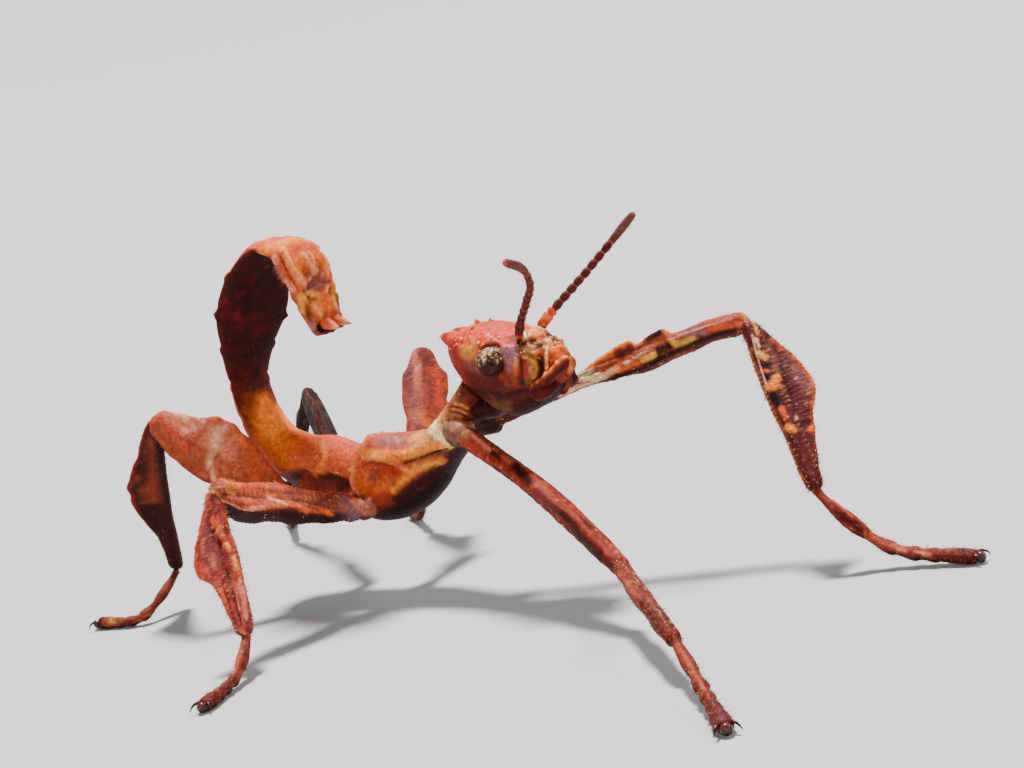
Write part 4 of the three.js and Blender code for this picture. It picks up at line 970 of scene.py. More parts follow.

# In these marks, thin dark lines with a negative height are painted shade in grooves and creases.
LEG_MARKS = {
    ("front_left", "hip"): (
        # painted shade under the head over the far front hip
        ("umber", 0.95, 1.2, 0, 0.1, 4, (500, 425)),
    ),
    ("front_left", "thigh"): (
        # painted shade under the head on the base of the thigh
        ("umber", 0.95, 0.6, 0, 0.1, 4, (480, 436), (500, 426), (525, 416)),
        ("maroon", 0.85, 0.3, 0, 0.2, 3, (525, 416), (535, 410), (548, 404)),
        ("pale", 0.8, 0.3, 0, 0.4, 4, (560, 392), (578, 384), (600, 376)),
        ("cream", 0.9, 0.12, 0.02, 0.5, 3, (573, 378), (582, 374.5), (590, 372)),
        ("cream", 0.95, 0.07, 0.05, 0.5, 3, (582, 380), (590, 377), (600, 373.5)),
        ("brick", 0.8, 0.035, -0.05, 0.2, 2, (562, 388), (575, 384), (590, 382)),
        ("rust", 0.8, 0.03, -0.04, 0.2, 2, (576, 376), (586, 373), (597, 371)),
        ("orange", 1, 0.14, 0.03, 0.3, 4, (590, 367), (605, 357), (618, 349), (630, 342)),
        ("peach", 0.9, 0.05, 0.03, 0.4, 2, (594, 364), (608, 354), (620, 346), (632, 339.5)),
        ("plum", 0.95, 0.13, 0, 0.2, 4, (617, 353), (625, 351), (631, 348)),
        ("clay", 0.9, 0.17, 0.02, 0.3, 3, (604, 371), (620, 364), (640, 354), (655, 345)),
        ("peach", 0.8, 0.1, 0.02, 0.3, 3, (636, 343), (641, 341)),
        ("orange", 0.95, 0.07, 0.02, 0.3, 3, (641, 344), (645, 336)),
        ("umber", 0.97, 0.15, 0, 0.2, 5, (648, 338), (654, 334.5), (660, 331)),
        ("gold", 1, 0.1, 0.04, 0.5, 3, (661, 328), (666, 331)),
        ("orange", 0.9, 0.12, 0, 0.3, 3, (666, 333), (676, 332)),
        ("clay", 0.9, 0.12, 0, 0.3, 3, (660, 342), (666, 339)),
        ("umber", 0.95, 0.17, 0, 0.2, 5, (659, 350), (665, 347), (671, 345)),
        ("gold", 1, 0.13, 0.03, 0.4, 5, (643, 359), (648, 357.5), (653, 355)),
        ("gold", 1, 0.14, 0.03, 0.4, 5, (673, 342), (677, 344), (686, 342), (693, 339)),
        ("gold", 0.85, 0.1, 0.02, 0.4, 3, (610, 372), (618, 370)),
        ("orange", 0.9, 0.09, 0, 0.3, 3, (620, 371), (632, 365), (640, 362)),
        ("mauve", 0.9, 0.26, 0, 0.3, 4, (683, 330), (695, 327), (706, 323)),
        ("umber", 0.85, 0.12, 0, 0.2, 3, (680, 329), (687, 326)),
        ("clay", 0.9, 0.16, 0, 0.3, 3, (704, 322), (716, 319), (730, 316)),
        ("salmon", 0.95, 0.15, 0.02, 0.4, 3, (710, 330), (722, 327), (736, 325)),
        ("violet", 0.8, 0.12, 0, 0.3, 3, (686, 335), (700, 332), (706, 334)),
        ("peach", 0.75, 0.09, 0.02, 0.5, 3, (740, 312), (745, 316), (747, 322)),
        ("pale", 0.95, 0.035, 0.05, 0.6, 3, (598, 377), (622, 366), (640, 355), (654, 349)),
        ("pink", 0.8, 0.03, 0.05, 0.5, 2, (678, 336), (695, 330), (712, 325), (733, 319)),
        ("umber", 0.97, 0.12, 0, 0.1, 4, (590, 386), (612, 379), (640, 370), (664, 357), (690, 345),
         (712, 336), (735, 330)),
        ("rust", 0.8, 0.03, -0.04, 0.2, 2, (590, 374), (612, 364), (640, 349)),
    ),
    ("front_left", "shin"): (
        ("peach", 0.85, 0.06, 0.04, 0.5, 3, (753, 323), (756, 329), (758, 335)),
        ("pale", 0.85, 0.06, 0.03, 0.5, 3, (756, 339), (759, 347)),
        ("umber", 0.9, 0.09, -0.02, 0.2, 3, (762, 322), (768, 334), (775, 350), (782, 372), (788, 390),
         (793, 405)),
        ("mauve", 0.85, 0.13, 0, 0.3, 3, (768, 343), (774, 358), (778, 372)),
        ("gold", 1, 0.14, 0.03, 0.5, 5, (759, 354), (765, 357)),
        ("black", 0.97, 0.14, 0, 0.2, 5, (762, 364), (767, 366)),
        ("coral", 0.9, 0.06, 0, 0.3, 4, (762, 370), (768, 371)),
        ("black", 0.95, 0.12, 0, 0.2, 5, (765, 376), (769, 377)),
        ("bright", 1, 0.14, 0.03, 0.5, 5, (768, 387), (775, 387), (774, 380), (777, 377)),
        ("black", 0.97, 0.2, 0, 0.2, 5, (773, 397), (779, 403)),
        ("salmon", 0.95, 0.12, 0.02, 0.3, 4, (781, 409), (786, 417)),
        ("bright", 1, 0.15, 0.03, 0.5, 5, (788, 428), (794, 430)),
        ("orange", 1, 0.13, 0.02, 0.4, 4, (811, 430), (817, 424)),
        ("clay", 0.9, 0.12, 0.03, 0.3, 3, (772, 340), (781, 350)),
        ("mauve", 0.5, 0.26, 0, 0.3, 3, (786, 356), (797, 372), (808, 388)),
        ("plum", 0.8, 0.22, 0, 0.3, 3, (797, 402), (806, 412)),
        ("pale", 0.7, 0.03, 0.02, 0.4, 2, (752, 335), (756, 352), (761, 368), (766, 384)),
        ("maroon", 0.6, 0.22, 0, 0.3, 3, (800, 436), (806, 455), (810, 478)),
        ("maroon", 0.8, 0.09, 0, 0.3, 2, (815, 440), (818, 462), (818, 482)),
        # painted glints, in this mark and the next three
        ("pale", 1, 0.035, 0.03, 0.9, 2, (786, 365)),
        ("pale", 1, 0.035, 0.03, 0.9, 2, (797, 378)),
        ("pale", 1, 0.045, 0.03, 0.9, 2, (797, 418)),
        ("pale", 1, 0.03, 0.03, 0.9, 2, (812, 381)),
    ),
    ("front_left", "foot"): (
        ("salmon", 0.9, 0.07, 0.03, 0.4, 2, (829, 497), (840, 506), (851, 518)),
        ("maroon", 0.92, 0.16, 0, 0.2, 4, (838, 510), (850, 522), (860, 530)),
        ("clay", 0.85, 0.12, 0.02, 0.4, 2, (870, 537), (884, 545)),
        ("pink", 0.6, 0.1, 0, 0.4, 2, (893, 546), (905, 551)),
        ("plum", 0.7, 0.1, 0, 0.3, 2, (906, 556), (918, 556)),
        ("pink", 0.6, 0.07, 0, 0.4, 2, (915, 551), (930, 555)),
        ("maroon", 0.75, 0.16, 0, 0.3, 2, (940, 556), (965, 560)),
    ),
    ("front_right", "hip"): (
        ("mauve", 0.55, 0.34, 0.02, 0.3, 3, (446, 420), (450, 430), (462, 434)),
        # painted highlight on the hip
        ("pink", 0.85, 0.1, 0.02, 0.6, 2, (458, 421), (464, 428)),
    ),
    ("front_right", "thigh"): (
        ("tan", 0.85, 0.4, 0, 0.4, 3, (455, 428), (462, 434)),
        # painted highlight along the thigh's base
        ("pink", 0.85, 0.08, 0.02, 0.6, 2, (465, 428), (476, 438), (490, 450)),
        ("brick", 0.9, 0.24, 0, 0.3, 3, (462, 442), (474, 452), (490, 466)),
        ("umber", 0.9, 0.12, 0, 0.2, 3, (492, 452), (500, 458)),
        ("clay", 0.85, 0.13, 0.02, 0.3, 3, (503, 455), (511, 461)),
        ("umber", 0.95, 0.19, 0, 0.2, 4, (515, 466), (524, 476), (530, 482)),
        ("clay", 0.85, 0.11, 0.02, 0.3, 3, (532, 474), (540, 482), (545, 488)),
        ("plum", 0.9, 0.16, 0, 0.2, 3, (536, 490), (550, 503), (560, 514)),
        ("black", 0.8, 0.18, 0, 0.2, 3, (562, 514), (575, 526)),
        ("umber", 0.92, 0.26, 0, 0.2, 3, (578, 534), (590, 546), (600, 556)),
        ("maroon", 0.9, 0.16, 0, 0.3, 3, (602, 556), (612, 568)),
        ("clay", 0.7, 0.06, 0.02, 0.3, 2, (545, 488), (560, 500), (580, 520)),
        ("maroon", 0.85, 0.12, 0, 0.3, 2, (490, 470), (520, 498), (548, 522), (580, 552)),
    ),
    ("front_right", "shin"): (
        ("clay", 0.6, 0.1, 0.02, 0.4, 3, (618, 572), (630, 590), (640, 606)),
        ("maroon", 0.7, 0.2, 0, 0.3, 3, (640, 600), (652, 618), (662, 632)),
        ("maroon", 0.7, 0.16, 0, 0.3, 2, (655, 618), (664, 632)),
    ),
    ("front_right", "foot"): (
        ("clay", 0.6, 0.12, 0, 0.4, 2, (676, 645), (690, 665), (704, 690)),
        ("plum", 0.85, 0.3, 0, 0.3, 3, (712, 702), (726, 728)),
    ),
    ("middle_right", "thigh"): (
        ("orange", 0.8, 0.15, 0.02, 0.3, 3, (228, 484), (240, 484)),
        ("salmon", 0.65, 0.16, 0.02, 0.3, 3, (240, 488), (262, 485), (282, 488)),
        ("maroon", 0.85, 0.05, -0.06, 0.2, 2, (222, 495), (250, 496), (285, 498), (320, 505), (345, 512)),
        # painted highlight along the crest
        ("pink", 1, 0.07, 0.09, 0.5, 3, (222, 500), (232, 503.5), (240, 508), (252, 509), (264, 508)),
        ("coral", 0.95, 0.12, 0.06, 0.4, 3, (247, 503), (253, 503)),
        ("peach", 0.85, 0.11, 0.06, 0.4, 3, (270, 499), (280, 502), (285, 504)),
        ("orange", 0.95, 0.1, 0.06, 0.4, 3, (300, 507), (307, 511)),
        ("orange", 0.95, 0.09, 0.05, 0.4, 3, (322, 510), (332, 515)),
        ("mauve", 0.8, 0.06, 0.05, 0.3, 2, (286, 495), (305, 500), (325, 505), (345, 512)),
        ("maroon", 0.85, 0.05, -0.04, 0.2, 2, (310, 506), (318, 510)),
        ("maroon", 0.85, 0.06, -0.04, 0.2, 2, (290, 508), (296, 510)),
        ("tan", 0.75, 0.16, 0.02, 0.4, 3, (212, 492), (218, 498), (222, 506)),
        ("violet", 0.7, 0.4, 0.1, 0.4, 3, (346, 503), (352, 507), (356, 514)),
        # painted highlight on the bulge at the hip end, here and in the next mark
        ("pink", 0.9, 0.22, 0.04, 0.5, 3, (354, 503), (364, 504), (370, 510)),
        ("pale", 0.8, 0.08, 0.03, 0.6, 2, (358, 502), (363, 503)),
    ),
    ("middle_left", "thigh"): (
        ("mauve", 0.65, 0.3, 0, 0.3, 2, (404, 372), (410, 392), (418, 412)),
        # painted highlight along the keel, here and in the next mark
        ("pink", 0.6, 0.14, 0.03, 0.4, 2, (413, 352), (417, 372), (420, 396)),
        ("pale", 0.35, 0.05, 0.02, 0.4, 2, (418, 366), (419, 382)),
        ("plum", 0.75, 0.17, -0.02, 0.3, 2, (425, 358), (427, 376), (430, 396)),
        ("coral", 0.8, 0.18, 0.02, 0.3, 2, (434, 370), (439, 384), (440, 404)),
        ("orange", 0.6, 0.14, 0, 0.3, 2, (447, 384), (449, 396)),
        ("orange", 0.7, 0.25, 0, 0.3, 2, (420, 414), (428, 424)),
    ),
    ("middle_right", "shin"): (
        # painted highlight at the top of the lobe
        ("pink", 0.8, 0.06, 0.04, 0.5, 3, (204, 500), (205, 510)),
        ("plum", 0.75, 0.16, 0, 0.3, 3, (209, 512), (208, 526)),
        # painted highlights along the ridge, in this mark and the four peach beads after it
        ("salmon", 0.95, 0.12, 0.07, 0.3, 3, (213, 520), (219, 532), (227, 545), (234, 558), (238, 574)),
        ("peach", 0.9, 0.06, 0.04, 0.5, 2, (219, 530), (222, 536)),
        ("peach", 0.9, 0.06, 0.04, 0.5, 2, (227, 545), (230, 551)),
        ("peach", 0.95, 0.08, 0.05, 0.5, 2, (234, 559), (237, 569)),
        ("peach", 0.8, 0.05, 0.04, 0.5, 2, (239, 578), (241, 583)),
        ("brick", 0.8, 0.06, -0.02, 0.3, 2, (224, 540), (226, 542)),
        ("brick", 0.8, 0.06, -0.02, 0.3, 2, (232, 554), (233, 556)),
        # painted highlight continuing down the ridge
        ("pink", 0.75, 0.1, 0.04, 0.4, 3, (240, 584), (244, 600), (247, 618)),
        ("plum", 0.85, 0.07, 0, 0.3, 2, (247, 590), (250, 618)),
        ("umber", 0.9, 0.05, -0.08, 0.2, 3, (213, 530), (222, 550), (228, 575), (235, 600), (241, 625)),
        ("umber", 0.7, 0.03, -0.04, 0.2, 2, (216, 545), (223, 565), (230, 588)),
        ("pink", 0.85, 0.035, 0.07, 0.5, 2, (226, 562), (232, 585), (240, 612)),
        ("maroon", 0.8, 0.05, -0.05, 0.2, 2, (222, 582), (229, 604), (236, 624)),
        ("mauve", 0.6, 0.2, 0.02, 0.4, 2, (207, 534), (211, 550), (217, 566)),
        ("pink", 0.8, 0.05, 0.03, 0.5, 2, (203, 540), (204, 556)),
        ("pink", 0.6, 0.08, 0.02, 0.4, 2, (210, 556), (216, 566)),
        ("salmon", 0.8, 0.06, 0.03, 0.3, 2, (201, 566), (210, 576)),
        ("salmon", 1, 0.07, 0.04, 0.4, 3, (221, 590), (226, 605), (231, 618)),
        ("pink", 0.7, 0.08, 0.04, 0.5, 2, (241, 631), (247, 634)),
    ),
    ("middle_right", "foot"): (
        ("salmon", 0.85, 0.06, 0.02, 0.4, 2, (241, 642), (239, 656), (235, 672)),
        ("maroon", 0.8, 0.06, 0, 0.3, 2, (246, 650), (243, 668)),
        ("maroon", 0.8, 0.25, 0, 0.3, 3, (231, 680), (218, 694)),
    ),
    ("hind_right", "thigh"): (
        ("pink", 0.7, 0.5, 0, 0.4, 2, (176, 414), (202, 430), (226, 450)),
        ("coral", 0.55, 0.1, 0, 0.3, 2, (160, 418), (172, 432), (186, 450)),
        # pale lines here and in the next three marks: pale ridges, partly painted highlights
        ("pale", 0.6, 0.05, 0.03, 0.5, 2, (188, 410), (206, 424), (226, 440)),
        ("pale", 0.6, 0.05, 0.03, 0.5, 2, (182, 416), (200, 431), (220, 448)),
        ("pale", 0.55, 0.04, 0.03, 0.5, 2, (176, 422), (194, 438), (212, 456)),
        ("pale", 0.55, 0.04, 0.02, 0.5, 2, (200, 408), (216, 420), (232, 434)),
        ("brick", 0.6, 0.03, -0.02, 0.3, 2, (185, 413), (203, 427), (223, 444)),
        ("brick", 0.6, 0.03, -0.02, 0.3, 2, (179, 419), (197, 434), (216, 452)),
        ("brick", 0.5, 0.03, -0.02, 0.3, 2, (194, 409), (211, 422), (229, 437)),
        ("mauve", 0.8, 0.07, 0, 0.3, 2, (200, 394), (216, 398), (226, 406)),
        ("pale", 0.6, 0.09, 0, 0.5, 2, (206, 458), (212, 470), (214, 482)),
        ("orange", 0.5, 0.16, 0, 0.3, 2, (238, 428), (246, 444), (252, 462)),
    ),
    ("hind_right", "shin"): (
        ("rust", 0.75, 0.16, 0, 0.3, 2, (150, 440), (150, 470), (156, 500)),
        ("rust", 0.7, 0.14, 0, 0.3, 2, (137, 478), (142, 496)),
        ("umber", 0.8, 0.1, 0, 0.3, 2, (158, 450), (163, 490), (172, 545)),
    ),
}


def limb_sheet(name, points, blade, shape, rows, columns, hand=1, round_=0.3, lobed=True, phase=0.0,
               share=1.0, keel=None):
    """A leg piece: sections across a smooth path. In a section b runs from the inner edge to the outer edge,
    and the thickness is plate + (half - plate) exp(-(b / rod) ^ 2), closed at both edges by the root of
    (1 - |cos| ^ q): a round rod with thin leafy lobes where an edge reaches far out. With a keel, the lower
    side falls away from a crest. Both ends are domed."""
    line, run = route(points)
    length = run[-1]
    dome = max(4, rows // 12)
    ends = round_ * (1 - np.cos(np.linspace(0, np.pi / 2, dome, endpoint=False)))
    between = np.linspace(round_, length - round_, rows - 2 * dome)
    stations = np.concatenate([ends, between, (length - ends)[::-1]])
    s = stations / length
    centre = walk(line, run, stations)
    way = heading(line, run, stations)
    blade = np.array(blade, float)
    up = unit(blade - (way @ blade)[:, None] * way)
    side = unit(np.cross(up, way)) * hand
    outer, inner, above, below = follow(shape, s).T[:, :, None]
    outer = np.minimum(outer, LOBE_START + (outer - LOBE_START) * share)
    inside = np.minimum(stations, length - stations)
    k = np.minimum(inside / round_, 1)
    close = np.maximum(np.sqrt(1 - (1 - k) ** 2), 0.10)[:, None]
    angle = np.linspace(0, 2 * np.pi, columns, endpoint=False)
    c, t = np.cos(angle)[None], np.sin(angle)[None]
    reach = np.where(c > 0, outer, inner)
    lobe = np.clip((reach - LOBE_START) / LOBE_SPAN, 0, 1) * (1 if lobed else 0)
    flat = 0 * lobe
    run_in = s[:, None] * length + flat
    teeth = noise(np.stack([run_in / TOOTH, flat + (c > 0) * 7.0, flat + phase], axis=-1), 1.0, 41)
    reach = reach * (1 + 0.055 * lobe * teeth)
    b = np.sign(c) * np.abs(c) * reach
    half = np.where(t > 0, above, below)
    plate = half * (1 - LOBE_THIN * lobe)
    body = plate + (half - plate) * np.exp(-(b / ROD) ** 2)
    if keel is not None:
        flank = np.where(b > keel, np.maximum(outer - keel, 0.1), inner + keel)
        ragged = 1 + 0.10 * noise(np.stack([run_in / 0.5, flat + 3, flat], axis=-1), 1.0, 43)
        slope = np.clip(1 - np.abs(b - keel) / flank, 0, 1) ** 0.85
        body = np.where(t < 0, 0.10 + (half * ragged - 0.10) * slope, body)
    q = 2 + 4 * lobe
    thick = np.sign(t) * body * np.sqrt(np.maximum(1 - np.abs(c) ** q, 0))
    wave = 0.10 * lobe * (b / np.maximum(reach, 0.1)) ** 2 * np.sin(2 * np.pi * 2.3 * s[:, None] + phase)
    grid = (centre[:, None] + up[:, None] * (b * close)[..., None]
            + side[:, None] * ((thick + wave) * close)[..., None])
    sheet = Sheet(grid, s, angle, name)
    sheet.length = length
    sheet.across = b
    sheet.share = b / np.maximum(reach, 0.1)
    sheet.lobe = lobe
    return sheet


def paint_limb(sheet, main, blotch, margin, amount, seed, crisp=1.0):
    """Colour and relief of a leg piece: mottled along it, with margins of their own colour, raised lines of
    dots along both sides of the rod, a rib down its middle, fine ripples across its lobes, painted shade in
    the grooves beside the rod and painted shade underneath. crisp says how strong the pattern is."""
    points, s, b = sheet.points, sheet.along, sheet.across
    run = s * sheet.length
    lengthways = np.stack([run / 1.0, b / 0.38, 0 * b + seed], axis=-1)
    soft = cloud(lengthways, 1.0, seed)
    fine = cloud(points, 0.16, seed + 3)
    streak = cloud(np.stack([run / 0.9, b / 0.09, np.sin(sheet.angle)], axis=-1), 1.0, seed + 5)
    paint = wash(
        plain(points, main),
        (blotch, smooth(-0.05, 0.45, soft) * amount),
        ("umber", smooth(0.28, 0.6, cloud(lengthways, 0.7, seed + 7)) * amount * 0.9),
        ("gold", smooth(0.40, 0.62, cloud(lengthways, 0.6, seed + 9)) * 0.5 * crisp),
        (PALETTE[main] * 1.35, smooth(0.2, 0.7, streak) * 0.45),
        ("maroon", smooth(0.05, 0.5, cloud(points, 0.26, seed + 11)) * 0.60 * crisp),
        ("umber", smooth(0.10, 0.6, -streak) * 0.35),
        ("peach", smooth(0.34, 0.60, fine) * 0.50 * crisp))
    edge = smooth(0.80, 0.97, np.abs(sheet.share)) * (0.35 + 0.65 * sheet.lobe)
    paint = wash(paint, (margin, edge * (0.45 + 0.55 * smooth(-0.3, 0.3, fine))))
    keel = bump(np.abs(b), ROD, 0.035) * smooth(0.02, 0.1, s) * smooth(0.99, 0.93, s)
    dots = smooth(0.35, 0.8, np.cos(2 * np.pi * run / 0.21 + 2 * soft)) * crisp ** 2
    sheet.paint = wash(paint, ("peach", keel * dots * 0.45))
    sheet.shine = (0.2 + 0.25 * smooth(0.1, 0.6, fine)) * (0.4 + 0.6 * smooth(0.3, 0.9, crisp))
    rib = bump(b, 0.0, 0.05) * (0.4 + 0.6 * sheet.lobe)
    ripple = np.sin(2 * np.pi * run / 0.17 + 2.5 * soft) * np.clip(sheet.lobe, 0, 1)
    sheet.paint = mix(sheet.paint, sheet.paint * 0.55, smooth(0.1, 0.8, ripple) * 0.5 * crisp ** 3)
    # painted shade in umber in the grooves beside the rod
    groove = bump(np.abs(b), ROD * 0.55, 0.05) + bump(np.abs(b), ROD * 1.5, 0.05)
    sheet.paint = wash(sheet.paint, ("umber", groove * 0.35))
    sheet.swell(0.055 * keel + 0.04 * rib - 0.02 * groove + 0.014 * ripple * crisp ** 3 + 0.022 * fine * crisp
                + 0.018 * soft + 0.02 * keel * dots)
    sheet.shade_under(0.8)


def leg_sheets(name):
    """Hip, thigh, shin and foot of one leg."""
    leg = LEGS[name]
    kind, hand = leg["kind"], leg["hand"]
    hip, knee, ankle, instep, toe = (np.array(leg[joint], float) for joint in JOINTS)
    share = GRID_SHARE.get(name, FAR_SHARE)
    seed = 100 + 20 * list(LEGS).index(name)
    grid = {piece: (int(r * share), 2 * int(k * share / 2)) for piece, (r, k) in LEG_GRIDS.items()}
    thigh, blotch, shin, shin_blotch, foot, margin, amount = LEG_LOOK[name]
    end = knee + unit(knee - hip) * KNEE_REACH
    middle = (hip + end) / 2 + np.array(leg["bow"])
    sheets = {}
    inner = HIP_INNER[kind]
    start = np.array([hip[0] * inner[0], hip[1] + inner[1], hip[2] + inner[2]])
    way = unit(middle - hip)
    radius = HIP_RADIUS[kind]
    table = ((0, *[radius] * 4), (1, *[radius * HIP_TAPER] * 4))
    sheets["hip"] = limb_sheet("hip", [start, hip, hip + way * HIP_REACH * 2], (0, 0, 1), table, *grid["hip"],
                               round_=0.25, lobed=False)
    shape = THIGH.get(name, THIGH[kind])
    sheets["thigh"] = limb_sheet(
        "thigh", [hip, middle, end], leg["blade_thigh"], shape, *grid["thigh"], hand=hand, round_=0.35,
        phase=1.0 + hand, keel=KEEL if kind == "middle" else None)
    sheets["shin"] = limb_sheet(
        "shin", [knee, (knee + ankle) / 2, ankle], leg["blade_shin"], SHIN[kind], *grid["shin"], hand=hand,
        round_=0.25, phase=2.0 + hand, share=leg.get("leaf", 1.0))
    tip = toe + np.array([0, 0, FOOT_LIFT])
    root = ankle + unit(knee - ankle) * FOOT_ROOT
    sheets["foot"] = foot_sheet([root, ankle, instep, tip], grid["foot"], STOUT.get(name, 0.0))
    paint_limb(sheets["hip"], HIP_COLOUR[kind], "violet", "orange", 0.4, seed)
    crisp = 0.35 if name in CALM else 1.0
    paint_limb(sheets["thigh"], thigh, blotch, margin, amount, seed + 1, crisp)
    paint_limb(sheets["shin"], shin, shin_blotch, margin, amount, seed + 2, crisp)
    paint_limb(sheets["foot"], foot, "maroon", foot, 0.5, seed + 3)
    if name == "hind_right":
        sheets["foot"].paint = wash(
            sheets["foot"].paint,
            ("umber", smooth(0.88, 0.96, sheets["foot"].along)))
    else:
        sheets["foot"].paint = wash(
            sheets["foot"].paint,
            ("maroon", smooth(0.7, 0.95, sheets["foot"].along) * 0.8))
    for piece, sheet in sheets.items():
        marks = LEG_MARKS.get((name, piece))
        if piece == "thigh" and kind == "middle":
            # painted shade in umber on the underside below the crest of a middle thigh
            under = smooth(-0.1, -0.35, np.sin(sheet.angle)) * smooth(0.97, 0.90, np.abs(sheet.share))
            sheet.paint = wash(sheet.paint, ("umber", under * 0.95))
        if marks:
            apply_marks(sheet, marks, seed + 5, 0.05 if name in CALM else 0.14, both=False)
        sheet.name = piece + "_" + name
    sheets["foot"].points[..., 2] = np.maximum(sheets["foot"].points[..., 2], 0.0)
    return list(sheets.values())


def foot_sheet(points, grid, stout=0.0):
    """A foot of five joints: each joint swells to its far end, with a notch between it and the next."""
    rows, columns = grid
    sheet = limb_sheet("foot", points, (0, 0, 1), FOOT, rows, columns, round_=0.14, lobed=False)
    s = sheet.along
    joints = np.array(FOOT_JOINTS)
    place = np.clip(np.searchsorted(joints, s, side="right") - 1, 0, 4)
    t = (s - joints[place]) / (joints[place + 1] - joints[place])
    swell = -0.05 + 0.075 * np.sin(np.pi * np.clip(t, 0, 1) ** 2.2)
    swell = np.where(place == 4, -0.02 + 0.06 * np.sin(np.pi * np.clip(t, 0, 1)), swell)
    swell = swell + stout * bump(s, 0.24, 0.12)
    sheet.swell(swell)
    return sheet


# ---- one skin from all the sheets
SURFACES = {}
HEAL_ROUNDS = 6              # how many times the colours spread to the points where sheets meet


def surfaces():
    """Every sheet the skin is joined from, made once, each with its own cell of the unwrap."""
    if not SURFACES:
        sheets = [head_sheet()] + horn_sheets() + [trunk_sheet()] + cercus_sheets()
        for name in LEGS:
            sheets += leg_sheets(name)
        sheets.append(throat_sheet())
        across = int(np.ceil(np.sqrt(len(sheets))))
        for place, sheet in enumerate(sheets):
            size = 0.92 / across
            sheet.unwrap = ((place % across) / across, (place // across) / across, size, size)
            SURFACES[sheet.name + str(place)] = sheet
    return SURFACES


def heal(mesh, known):
    """Gives the points made where two sheets meet the mean colour of their neighbours."""
    count = len(mesh.vertices)
    points = np.empty(count * 3)
    mesh.vertices.foreach_get("co", points)
    points = points.reshape(-1, 3)
    order = np.sort(known)
    keys = key_of(points)
    place = np.clip(np.searchsorted(order, keys), 0, len(order) - 1)
    fresh = order[place] != keys
    ends = np.empty(len(mesh.edges) * 2, int)
    mesh.edges.foreach_get("vertices", ends)
    ends = ends.reshape(-1, 2)
    colours = np.empty(count * 4, np.float32)
    mesh.attributes["paint"].data.foreach_get("color", colours)
    shine = np.empty(count, np.float32)
    mesh.attributes["shine"].data.foreach_get("value", shine)
    values = np.column_stack([colours.reshape(-1, 4)[:, :3], shine]).astype(float)
    trusted = ~fresh
    for _ in range(HEAL_ROUNDS):
        total = np.zeros_like(values)
        weight = np.zeros(count)
        for a, b in ((0, 1), (1, 0)):
            give = ends[trusted[ends[:, a]]]
            np.add.at(total, give[:, b], values[give[:, a]])
            np.add.at(weight, give[:, b], 1)
        fill = fresh & (weight > 0)
        values[fill] = total[fill] / weight[fill][:, None]
        trusted = trusted | fill
    paint = np.column_stack([values[:, :3], np.ones(count)]).astype(np.float32)
    mesh.attributes["paint"].data.foreach_set("color", paint.ravel())
    mesh.attributes["shine"].data.foreach_set("value", values[:, 3].astype(np.float32))


def key_of(points):
    """One whole number for each point, from its place in steps of a tenth of a micron."""
    steps = np.round(points * 1e7).astype(np.int64) + 2 ** 20
    return (steps[:, 0] << 42) + (steps[:, 1] << 21) + steps[:, 2]


def build_skin(material):
    """Joins the sheets into one closed skin by a union, so no seam is left between them."""
    sheets = list(surfaces().values())
    parts = [join_sheets("part_" + sheet.name, [sheet]) for sheet in sheets]
    known = []
    for part in parts:
        points = np.empty(len(part.data.vertices) * 3)
        part.data.vertices.foreach_get("co", points)
        known.append(key_of(points.reshape(-1, 3)))
    group = bpy.data.collections.new("skin parts")
    bpy.context.scene.collection.children.link(group)
    for part in parts[1:]:
        bpy.context.scene.collection.objects.unlink(part)
        group.objects.link(part)
    skin = parts[0]
    skin.name = "skin"
    union = skin.modifiers.new("union", "BOOLEAN")
    union.operation = "UNION"
    union.operand_type = "COLLECTION"
    union.collection = group
    union.solver = "MANIFOLD"
    bpy.context.view_layer.update()
    graph = bpy.context.evaluated_depsgraph_get()
    mesh = bpy.data.meshes.new_from_object(skin.evaluated_get(graph))
    skin.modifiers.clear()
    skin.data = mesh
    mesh.name = "skin"
    for part in parts[1:]:
        bpy.data.objects.remove(part)
    bpy.data.collections.remove(group)
    heal(mesh, np.concatenate(known))
    mesh.shade_smooth()
    mesh.materials.clear()
    mesh.materials.append(material)
    return skin


# ---- eyes, feelers, mouth and claws
def tube_sheet(points, radius, rows, columns, blade=(0, 0, 1), flat=1.0, name="tube"):
    """A round or flattened tube along a smooth path; radius is a function of the place from 0 to 1."""
    line, run = route(points)
    length = run[-1]
    s = (1 - np.cos(np.linspace(0, np.pi, rows))) / 2 * 0.35 + np.linspace(0, 1, rows) * 0.65
    centre = walk(line, run, s * length)
    way = heading(line, run, s * length)
    blade = np.array(blade, float)
    up = unit(blade - (way @ blade)[:, None] * way)
    side = np.cross(up, way)
    angle = np.linspace(0, 2 * np.pi, columns, endpoint=False)
    wide = radius(s)[:, None]
    grid = (centre[:, None] + up[:, None] * (wide * np.cos(angle))[..., None]
            + side[:, None] * (wide * flat * np.sin(angle))[..., None])
    return Sheet(grid, s, angle, name)


def domed(s, length, radius):
    """Closes a tube's ends: a quarter circle of the given radius at each end."""
    inside = np.minimum(s, 1 - s) * length / radius
    return np.maximum(np.sqrt(1 - (1 - np.clip(inside, 0, 1)) ** 2), 0.06)


EYE_GRID = (64, 96)


